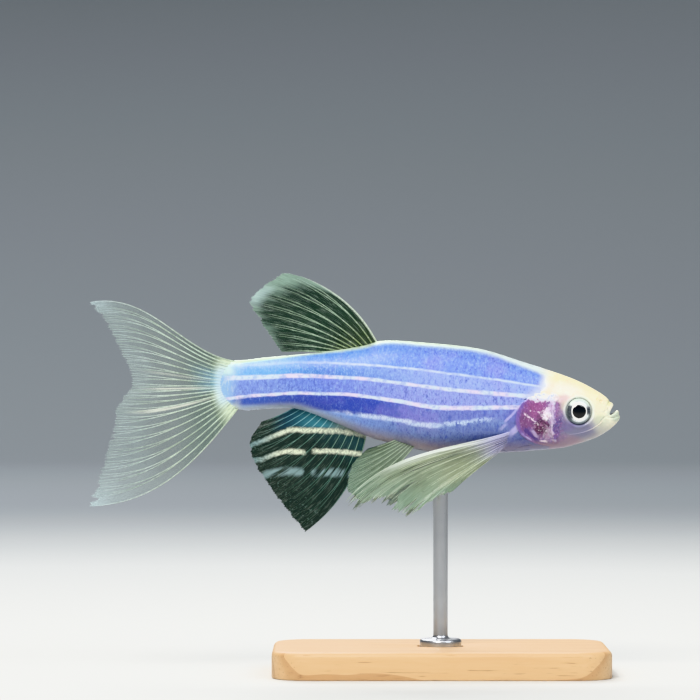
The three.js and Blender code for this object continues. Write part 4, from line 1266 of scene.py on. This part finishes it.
def fin_mesh(name, fan_of, notch=0.02):
    """The fin's clear skin, a closed sheet with a face on each side, which ends between the tips of
    the rays in shallow bays, as deep as the notch."""
    columns = np.linspace(0, 1, (fan_of.rays - 1) * WEB_COLUMNS + 1)
    rows = np.concatenate([np.linspace(0, 0.9, 34, endpoint=False), np.linspace(0.9, 1, 9)])
    u, t = np.meshgrid(columns, rows, indexing="ij")
    across = u * (fan_of.rays - 1)
    from_rays = (1 - np.cos(2 * np.pi * across)) / 2
    bay = (1 - np.cos(2 * np.pi * across * 4)) / 2
    nick = np.interp(u, np.linspace(0, 1, len(fan_of.nicks)), fan_of.nicks) * from_rays
    run = t * (fan_of.reach(u) - notch * bay * 0.5 - notch * 3 * nick * (t > 0.8))
    middle = fan_of.at(u, run)
    normal = fan_of.normal(u.clip(0.001, 0.999), run)
    half = blend(*WEB_THICK, smooth(t, 0, 0.5)) / 2 * (1 - 0.6 * (t == 1))
    billow = -0.02 * from_rays * smooth(t, 0.1, 0.5)
    faces = [middle + normal * (billow + side * half)[..., None] for side in (1, -1)]
    wide, long = u.shape
    quads = lattice(wide, long)
    border = np.concatenate([
        np.arange(wide) * long, (wide - 1) * long + np.arange(1, long),
        np.arange(wide - 2, -1, -1) * long + long - 1, np.arange(long - 2, 0, -1),
    ])
    away = wide * long
    rim = np.stack([border, border + away, np.roll(border, -1) + away, np.roll(border, -1)], -1)
    points = np.concatenate([faces[0].reshape(-1, 3), faces[1].reshape(-1, 3)])
    thing = mesh_piece(name, in_row(points), np.concatenate([quads, quads[:, ::-1] + away, rim[:, ::-1]]))
    note(thing, "fin", np.tile(np.column_stack([u.ravel(), run.ravel(), from_rays.ravel()]), (2, 1)))
    note(thing, "spot", points)
    return thing


def ray_mesh(name, fan_of, radius, splits=RAY_SPLITS, plain=(0,)):
    """The fin's rays: stems that split in two at each share in splits, all as closed tapering
    threads. The plain ones at the edges stay whole."""
    gap = 1 / (fan_of.rays - 1)
    centres = np.arange(fan_of.rays) * gap
    whole = centres[list(plain)]
    parted = np.setdiff1d(centres, whole)
    limits = [0, *splits, 1]
    runs = [(whole, np.zeros(len(whole)), 0.0, 1.0, STEM_STEPS)]
    offsets = np.zeros(1)
    for depth, (start, end) in enumerate(zip(limits[:-1], limits[1:])):
        spread = np.tile(offsets, len(parted))
        runs.append((np.repeat(parted, len(offsets)), spread, start, end, RAY_STEPS))
        if depth < len(splits):
            shift = gap / 4 / 2**depth
            offsets = np.concatenate([offsets - shift, offsets + shift])
    parts = []
    first = 0
    for centre, spread, start, end, steps in runs:
        t = np.linspace(max(start - 0.015, 0), end, steps)[None]
        opened = np.zeros((len(centre), steps))
        left = spread[:, None].copy()
        for depth, split in enumerate(splits):
            shift = gap / 4 / 2**depth
            turn_side = np.where(np.abs(left) > 1e-9, np.sign(left), 0.0)
            opened += turn_side * shift * ((t - split).clip(0, 1) / (1 - split)) ** 0.85
            left = left - turn_side * shift
        u = (centre[:, None] + opened).clip(0, 1)
        tip = fan_of.reach(u[:, -1:])
        run = t * tip
        paths = fan_of.at(u, run)
        inward = unit(paths[:, :1] - paths[:, 1:2])
        if start == 0:
            paths = np.concatenate([paths[:, :1] + inward * ROOT_DEPTH, paths], axis=1)
            u = np.concatenate([u[:, :1], u], axis=1)
            run = np.concatenate([run[:, :1], run], axis=1)
        width = blend(*radius, run**0.7)
        width = width * SPLIT_NARROWER ** sum(start >= split for split in splits)
        width = width * (1 - 0.55 * smooth(run, 0.93, 1.0))
        across = fan_of.normal(u.clip(0.001, 0.999), run.clip(0.001, 1))
        points, quads, caps = strands(paths, width, width * RAY_FLAT, across, RAY_SIDES)
        marks = np.stack([u, run, spread[:, None] + 0 * u], -1)
        marks = np.repeat(marks, RAY_SIDES, axis=1).reshape(-1, 3)
        ends = [np.column_stack([u[:, k], run[:, k], spread]) for k in (0, -1)]
        parts.append((points, quads + first, caps + first, np.concatenate([marks, *ends])))
        first += len(points)
    points, quads, caps, marks = (np.concatenate(kind) for kind in zip(*parts))
    thing = mesh_piece(name, in_row(points), quads, caps)
    note(thing, "fin", marks)
    note(thing, "spot", points)
    return thing


def between(leading, last):
    """The bow shares of a fin, going evenly from the leading edge to the last ray."""
    return lambda u: tuple(blend(a, b, u) for a, b in zip(leading, last))


def flat(knots):
    """A margin of [x, z] knots that lies in the fish's middle plane."""
    return lambda u: knotted([[x, 0, z] for x, z in knots], u)


def on_ridge(outline, first, last, up):
    """A root along the back (up 1) or the belly (up -1), just under the skin, between two stations."""

    def root(u):
        x = blend(first, last, u)
        return np.stack([x, 0 * x, through(outline, x) - up * 0.25], -1)

    return root


dorsal = Fan(
    root=on_ridge(BACK, 14.5, 10.9, 1),
    margin=lambda u: knotted([
        [0, 6.6, 0, 10.75], [0.1, 4.95, 0, 10.95], [0.26, 3.15, 0, 9.6], [0.42, 1.9, 0, 8.15],
        [0.6, 2.8, 0, 6.6], [0.8, 4.1, 0, 4.85], [1, 5.35, 0, 3.42],
    ], u),
    bow=between((0.14, 0.13), (0.02, 0.02)),
    rays=10,
    sway=lambda u, t: 0.3 * t**2 * np.sin(2 * np.pi * u + 0.6),
    worn=0.02,
)
anal = Fan(
    root=on_ridge(BELLY, 14.0, 7.3, -1),
    margin=flat([[8.79, -13.58], [6.9, -11.7], [5.2, -9.6], [3.6, -7.5], [2.95, -5.4], [3.9, -3.4]]),
    bow=between((0.135, 0.135), (0.05, 0.03)),
    rays=14,
    sway=lambda u, t: 0.3 * t**2 * np.sin(2 * np.pi * u),
    worn=0.015,
)
TAIL_MARGIN = [
    [0, -13.57, 0, 6.75], [0.084, -12.05, 0, 5.5], [0.168, -11.1, 0, 4.0], [0.252, -10.2, 0, 2.4],
    [0.336, -9.25, 0, 0.9], [0.42, -8.8, 0, -0.68], [0.517, -9.4, 0, -1.8], [0.613, -10.1, 0, -3.1],
    [0.71, -10.4, 0, -5.1], [0.807, -10.8, 0, -7.4], [0.903, -11.4, 0, -9.9], [1, -12.2, 0, -12.6],
]
FORK = 0.42  # the share of the rays that is above the fork


def tail_root(u):
    """Along the rounded end of the tail's flesh, from above to below."""
    z = np.interp(u, [0, FORK, 1], [2.2, -0.2, -2.4])
    x = TAIL_END + tail_round(z) + 0.25
    return np.stack([x, 0 * x, z], -1)


def tail_bow(u):
    """Both lobes bow outwards: up above the fork, down below it."""
    upper, lower = (1 - u / FORK).clip(0, 1), ((u - FORK) / (1 - FORK)).clip(0, 1)
    return -0.06 * upper - 0.12 * lower, 0.23 * upper - 0.21 * lower


caudal = Fan(
    root=tail_root,
    margin=lambda u: knotted(TAIL_MARGIN, u),
    bow=tail_bow,
    rays=22,
    sway=lambda u, t: 0.9 * t**2,
)


def pectoral(side, droop):
    """The long fan that trails from behind a gill cover; the droop turns it down about its root."""

    def root(u):
        angle = np.radians(-30 - 34 * u)
        return skin_at(28.2 - 0.9 * u, angle, -0.2 + 0 * u) * [1, side, 1]

    pivot = root(np.array(0.5))
    tips = np.array([
        [12.45, 5.0, -10.3], [12.9, 5.0, -11.4], [15.3, 4.9, -10.2], [17.0, 4.8, -10.95], [18.4, 4.6, -11.3],
        [20.2, 4.3, -9.9], [22.3, 3.7, -8.8],
    ]) * [1, side, 1] - pivot
    c, s = math.cos(droop), math.sin(droop)
    tips = tips @ np.array([[c, 0, s], [0, 1, 0], [-s, 0, c]]) + pivot
    return Fan(
        root=root,
        margin=lambda u: knotted(tips, u),
        bow=between((0.02, 0.18), (0.0, 0.03)),
        rays=12,
        plane=(0.25, side, 0.1),
        sway=lambda u, t: 0.25 * t * np.sin(3 * np.pi * u) + 0.3 * t * (1 - t),
        worn=0.1,
    )


def pelvic(side):
    """The small fan on the belly in front of the anal fin."""

    def root(u):
        return skin_at(18.8 - 1.6 * u, np.radians(-72 + 6 * u), -0.3 + 0 * u) * [1, side, 1]

    tips = np.array([
        [13.6, 2.6, -10.2], [12.5, 2.5, -9.3], [12.5, 2.4, -8.0], [12.9, 2.3, -6.6], [14.2, 2.1, -5.3],
    ])
    return Fan(
        root=root,
        margin=lambda u: knotted(tips * [1, side, 1], u),
        bow=between((0.04, 0.05), (0.03, 0.02)),
        rays=8,
        plane=(0.1, side, 0.05),
        sway=lambda u, t: 0.12 * t * np.sin(2 * np.pi * u),
    )


LEFT_DROOP = math.radians(2)
ANAL_BANDS = (
    [[2.9, -5.85], [3.63, -5.45], [4.92, -4.83], [6.77, -3.96], [8, -3.9], [9.63, -3.82], [11.55, -3.76],
     [13.68, -3.95], [14.5, -4.1]],
    [[2.9, -7.25], [4.4, -6.9], [5.04, -6.56], [6.44, -6.05], [8.34, -5.98], [9.29, -5.82], [11.19, -5.7],
     [13.59, -5.78], [14.5, -5.95]],
    [[3.5, -9.3], [4.7, -8.4], [5.62, -8.1], [7.03, -7.9], [8.46, -7.9], [9.43, -7.85], [10.85, -7.75],
     [12.25, -7.7], [13.5, -7.4]],
)


def note_bands(thing):
    """Stores how far above each of the anal fin's cream bands a point lies."""
    count = len(thing.data.vertices)
    values = np.empty(count * 3, np.float32)
    thing.data.attributes["spot"].data.foreach_get("vector", values)
    x, z = values.reshape(-1, 3)[:, 0], values.reshape(-1, 3)[:, 2]
    apart = [z - through(band, np.clip(x, band[0][0], band[-1][0])) for band in ANAL_BANDS]
    note(thing, "bands", np.column_stack(apart))


FIN_PAINTS = {
    "caudal": ((198, 210, 184), (112, 134, 112), (160, 180, 176), (0.85, 0.12, 0.18)),
    "dorsal": ((34, 50, 24), (18, 46, 30), (134, 161, 146), (0.9, 0.86, 0.72)),
    "anal": ((22, 60, 66), (8, 32, 26), (8, 30, 22), (0.97, 0.97, 0.96)),
    "pectoral": ((146, 148, 162), (150, 160, 130), (132, 156, 134), (0.75, 0.66, 0.58)),
    "pelvic": ((124, 138, 120), (110, 128, 106), (114, 138, 118), (0.75, 0.68, 0.62)),
}  # the clear skin's colour at root, middle and margin, and how solid each of its faces is there
RAY_PAINTS = {
    "caudal": ((190, 206, 180), (190, 204, 190), (196, 210, 208)),
    "dorsal": ((120, 136, 86), (148, 172, 146), (178, 198, 184)),
    "anal": ((136, 168, 152), (88, 128, 116), (42, 70, 58)),
    "pectoral": ((214, 216, 222), (182, 192, 164), (170, 188, 162)),
    "pelvic": ((162, 176, 154), (152, 170, 146), (144, 166, 144)),
}
RAY_SOLIDS = (0.98, 0.9, 0.75)
WEB_SHEENS = {"caudal": 0.2, "dorsal": 0.22, "anal": 0.1, "pectoral": 0.2, "pelvic": 0.2}


class FinFinish(Finish):
    """The finish of a fin's clear skin, or of its rays. Both go through three colours from root to
    margin and are streaked along the rays."""

    def __init__(self, kind, ray):
        super().__init__(f"{kind}_{'rays' if ray else 'web'}")
        self.ray = ray
        self.u, self.t, _ = self.split(self.noted("fin"))
        self.spot = self.noted("spot")
        self.streak = self.noise(self.join(self.u * 110.0, self.t * 6.0), 1.3, 3, 0.6)
        self.strokes = self.noise(self.join(self.u * 34.0, self.t * 1.6), 1.0, 3, 0.6)
        self.joints = self.noise(self.join(self.u * 60.0, self.t * 46.0), 1.0, 2)
        cloud = self.noise(self.spot, 0.5, 3)
        root, middle, tip, solids = (*RAY_PAINTS[kind], RAY_SOLIDS) if ray else FIN_PAINTS[kind]
        near = self.step(self.t, 0.16, 0.02) if kind == "caudal" else self.step(self.t, 0.4, 0.0)
        if kind == "dorsal":
            corner = (1 - self.u) ** 4.0 * 0.4
            outer = self.step(self.t + corner + cloud * 0.16 + self.strokes * 0.3, 1.08, 1.34)
        else:
            outer = self.step(self.t + cloud * 0.3, 0.6, 1.1)
        self.colour = self.mix(near, self.mix(outer, middle, tip), root)
        self.solid = self.ease(self.t, 0.5, 1.0, solids[1], solids[2]) * (0.75 + cloud * 0.5)
        self.solid = self.solid + near * (solids[0] - solids[1])
        if ray:
            dark = kind in ("anal", "dorsal")
            beaded = 0.4 if kind in ("caudal", "dorsal") else 0.0
            dull = self.step(self.strokes, 0.56, 0.4) * (0.25 if kind == "dorsal" else 0.4)
            self.lay(
                (self.step(self.joints, 0.45, 0.62) * 0.3, (120, 138, 124)),
                (dull, (44, 68, 52) if dark else (110, 128, 106)),
                (self.step(self.joints, 0.46, 0.34) * beaded, (206, 220, 206)),
            )
        else:
            self.lay(
                (self.step(self.streak, 0.5, 0.66) * WEB_SHEENS[kind], (190, 208, 194)),
                (self.step(self.streak, 0.48, 0.34) * 0.3, (24, 42, 34)),
            )

    def lay(self, *coats):
        self.colour = self.layers(self.colour, *coats)

    def about(self, middle, outer, inner):
        """How near a point is to the ray at this share of the fin: 0 outside, and 1 inside."""
        return self.step(abs(self.u - middle), outer, inner)

    def end(self):
        """Ends the material."""
        return self.done(
            Base_Color=self.colour,
            Alpha=self.solid,
            Roughness=0.36 + self.streak * 0.14,
            Coat_Weight=0.2,
            Coat_Roughness=0.15,
            Normal=self.bump(self.joints if self.ray else self.streak, 0.012, 0.6),
        )


def paint_caudal(fin):
    """The tail fin: dark near its root, with a teal upper half, three bright rays and bright corners."""
    t = fin.t
    if not fin.ray:
        fin.lay((fin.step(t, 0.55, 0.18) * fin.step(t, 0.05, 0.18) * 0.7, (70, 98, 82)))
        fin.solid = fin.solid + fin.step(t, 0.5, 0.16) * 0.25
    bright = fin.about(0.455, 0.014, 0.004).most(fin.about(0.633, 0.016, 0.004))
    bright = bright.most(fin.about(0.353, 0.01, 0.003) * 0.6)
    bright = bright * fin.step(t, 0.95, 0.6) * fin.step(t, -0.1, 0.4) * 0.8
    corners = fin.about(0.5, 0.4, 0.5) * fin.step(t + fin.streak * 0.1, 0.86, 1.02) * 0.5
    fin.lay(
        (fin.about(0.36, 0.24, 0.05) * fin.step(t, 0.4, 0.04) * (0.3 if fin.ray else 0.7), (120, 176, 206)),
        (fin.about(0.46, 0.44, 0.25) * fin.step(t, 0.12, 0.01) * 0.85, (188, 210, 224)),
        (bright, (240, 242, 228)),
        (corners, (206, 226, 232)),
    )
    fin.solid = fin.solid + (bright + corners) * (0.0 if fin.ray else 0.3)


def paint_dorsal(fin):
    """The dorsal fin: a pale beaded leading edge, and a pale corner at its top."""
    t = fin.t
    lead = fin.step(fin.u, 0.035, 0.008) * (0.4 + fin.step(fin.joints, 0.4, 0.56) * 0.6)
    lead = lead * fin.step(t, 0.95, 0.6)
    corner = fin.about(0.36, 0.16, 0.04) * fin.step(t + fin.streak * 0.1, 0.9, 1.0)
    fin.lay((lead * 0.7, (214, 224, 208)), (corner * 0.6, (176, 198, 198)))
    fin.solid = fin.solid + lead * (0.0 if fin.ray else 0.2)


def paint_pectoral(fin):
    """The pectoral fin: pale folds with painted shade in dark slits between them, and a clear lilac root."""
    u, t, strokes = fin.u, fin.t, fin.strokes
    lead = fin.step(u + t * 0.03, 0.12, 0.04) * fin.step(strokes, 0.36, 0.5)
    shade = fin.about(0.3, 0.3, 0.1) * fin.step(abs(t - 0.5), 0.42, 0.2)
    # painted shade: the dark slits in the creases between the folds
    slit = fin.about(0.2, 0.1, 0.05) * fin.step(abs(t - 0.48), 0.24, 0.1)
    rooted = fin.step(t, 0.2, 0.04) * fin.step(u, 0.02, 0.2)
    fin.lay(
        (shade * fin.step(strokes, 0.48, 0.38) * 0.5, (86, 104, 84)),
        (slit * fin.step(strokes, 0.58, 0.48) * 0.85, (46, 62, 52)),
        (fin.step(strokes, 0.56, 0.66) * fin.step(u, 0.7, 0.25) * 0.45, (214, 220, 202)),
        (lead * fin.ease(t, 0.55, 0.8, 0.8, 0.1), (226, 230, 226)),
        (fin.step(t, 0.3, 0.06) * 0.7, (170, 166, 216)),
    )
    fin.solid = fin.solid + lead * fin.ease(t, 0.55, 0.8, 0.0 if fin.ray else 0.25, 0.0)
    fin.solid = fin.solid * (1 - rooted * (0.5 if fin.ray else 0.9))


def paint_anal(fin):
    """The anal fin: teal above, dark below, with three wavering pale bands. The lowest is broken."""
    first, second, third = fin.split(fin.noted("bands"))
    along = fin.split(fin.spot)[0]
    above = fin.step(first, 0.1, 0.5)
    teal = above * fin.step(along, 4.6, 6.6) * fin.step(along, 12.2, 10.0)
    deep, clear = ((60, 124, 140), (140, 196, 204)) if fin.ray else ((4, 52, 72), (60, 130, 146))
    beads = fin.noise(fin.spot, 4.5, 2)
    wobble = (fin.noise(fin.spot, 2.0, 3) - 0.5) * 0.4
    gap = fin.step(abs(along - 8.65 - wobble * 2), 0.2, 0.6)
    band = fin.step(abs(first + wobble), 0.38, 0.06) * fin.ease(along, 11.6, 14, 1.0, 0.6)
    band = band.most(fin.step(abs(second + wobble), 0.36, 0.06) * gap)
    band = band * (0.25 + fin.step(fin.streak, 0.32, 0.5) * 0.35 + fin.step(beads, 0.42, 0.54) * 0.35)
    broken = fin.step(fin.strokes - fin.step(along, 8.2, 9.4) * 0.08, 0.36, 0.5) * gap
    faded = fin.step(along, 6.5, 3.2)
    fin.lay(
        (above * fin.step(along, 9.6, 11.8) * 0.9, (150, 168, 160)),
        (teal * 0.8, fin.mix(fin.step(along + fin.streak, 6.6, 10.4), deep, clear)),
        (fin.step(beads, 0.6, 0.7) * fin.step(fin.t, 0.6, 0.95) * 0.25, (140, 168, 158)),
        (fin.step(abs(third + wobble), 0.6, 0.1) * broken * 0.8, (132, 160, 162)),
        (band * (1 - faded * 0.3), fin.mix(faded, (216, 222, 198), (140, 172, 174))),
    )
    fin.solid = fin.solid + band * (0.0 if fin.ray else 0.15)


FIN_PAINTERS = {
    "caudal": paint_caudal, "dorsal": paint_dorsal, "anal": paint_anal, "pectoral": paint_pectoral,
}  # the pelvic fins are plain


def paint_fin(kind, ray=False):
    """The finish of one kind of fin, with its own paler and darker places."""
    fin = FinFinish(kind, ray)
    if kind in FIN_PAINTERS:
        FIN_PAINTERS[kind](fin)
    return fin.end()


for kind, shape, radii, shares, plain, slot, nodes in (
    ("caudal", caudal, (0.085, 0.028), RAY_SPLITS, (0, 21), "clear_fin",
     ("caudal_fin_upper", "caudal_fin_lower")),
    ("dorsal", dorsal, (0.09, 0.036), (0.3, 0.6), (0,), "clear_fin", ("dorsal_fin",)),
    ("anal", anal, (0.07, 0.025), RAY_SPLITS, (0,), "dark_fin", ("anal_fin",)),
):
    web = fin_mesh(f"{kind}_web", shape)
    rays = ray_mesh(f"{kind}_rays", shape, radii, shares, plain)
    if kind == "anal":
        note_bands(web)
        note_bands(rays)
    dress(web, paint_fin(kind), slot, *nodes)
    dress(rays, paint_fin(kind, ray=True), slot)

paired = {kind: (paint_fin(kind), paint_fin(kind, ray=True)) for kind in ("pectoral", "pelvic")}
for name, side in SIDES:
    for kind, shape, notch, slot in (
        ("pectoral", pectoral(side, LEFT_DROOP if name == "left" else 0.0), 0.04, "pale_fin"),
        ("pelvic", pelvic(side), 0.02, "clear_fin"),
    ):
        web_finish, ray_finish = paired[kind]
        dress(fin_mesh(f"{kind}_web_{name}", shape, notch), web_finish, slot, f"{kind}_fin_{name}")
        dress(ray_mesh(f"{kind}_rays_{name}", shape, (0.075, 0.028)), ray_finish, slot)

# The model stands on a broad pale floor that curves up far behind it, under a large soft lamp from
# above in front, a weaker one from the other side and one from behind that lights the fins through.
FLOOR_FLAT = 0.7  # m from the middle to where the floor begins to rise
FLOOR_EDGE = 1.25
FLOOR_RISE = 0.672
FLOOR_THICK = 0.004
reach = np.concatenate([[0.02, 0.08, 0.2, 0.4], np.linspace(FLOOR_FLAT, FLOOR_EDGE, 24)])
bowl = np.column_stack([reach, FLOOR_RISE * smooth(reach, FLOOR_FLAT, FLOOR_EDGE * 1.25)])
sheet = np.concatenate([bowl, bowl[::-1] - [0, FLOOR_THICK]]) / MM
floor = mesh_piece("floor", *closed(spin(sheet, 120), [0, 0, 0], [0, 0, -FLOOR_THICK / MM]))
paper = Finish("floor_paper")
spot = paper.place()
# painted pool of light: the paper is pale near the stand and darker further out
far = paper.vector("LENGTH", spot, (0, 0, 0), out="Value")
tooth = paper.noise(spot, 0.4, 3, 0.6)
floor.data.materials.append(paper.done(
    Base_Color=paper.layers(
        paper.mix(paper.step(far, 15, 420), (206, 206, 203), (112, 118, 123)),
        (tooth * 0.05, (150, 150, 148)),
    ),
    Roughness=0.75 + tooth * 0.1,
    Normal=paper.bump(tooth, 0.05, 0.2),
))

LAMPS = (
    ("main_lamp", (-0.25, -0.62, 0.72), 0.42, 10.0, (1.0, 0.98, 0.95)),
    ("side_lamp", (0.55, -0.5, 0.62), 0.5, 4.0, (0.94, 0.97, 1.0)),
    ("rear_lamp", (-0.15, 0.6, 0.62), 0.45, 7.0, (1.0, 1.0, 1.0)),
)  # name, place in m, width in m, watts, colour
for name, place, width, power, colour in LAMPS:
    lamp = bpy.data.objects.new(name, bpy.data.lights.new(name, "AREA"))
    lamp.data.size = width
    lamp.data.energy = power
    lamp.data.color = colour
    lamp.location = place
    aim = mathutils.Vector(place) - mathutils.Vector((0, 0, 0.025))
    lamp.rotation_euler = aim.to_track_quat("Z", "Y").to_euler()
    bpy.context.scene.collection.objects.link(lamp)
world = bpy.data.worlds.new("studio")
world.use_nodes = True
sky = world.node_tree.nodes["Background"]
sky.inputs["Color"].default_value = (0.55, 0.58, 0.62, 1.0)
sky.inputs["Strength"].default_value = 0.45
bpy.context.scene.world = world
bpy.context.scene.view_settings.view_transform = "Khronos PBR Neutral"
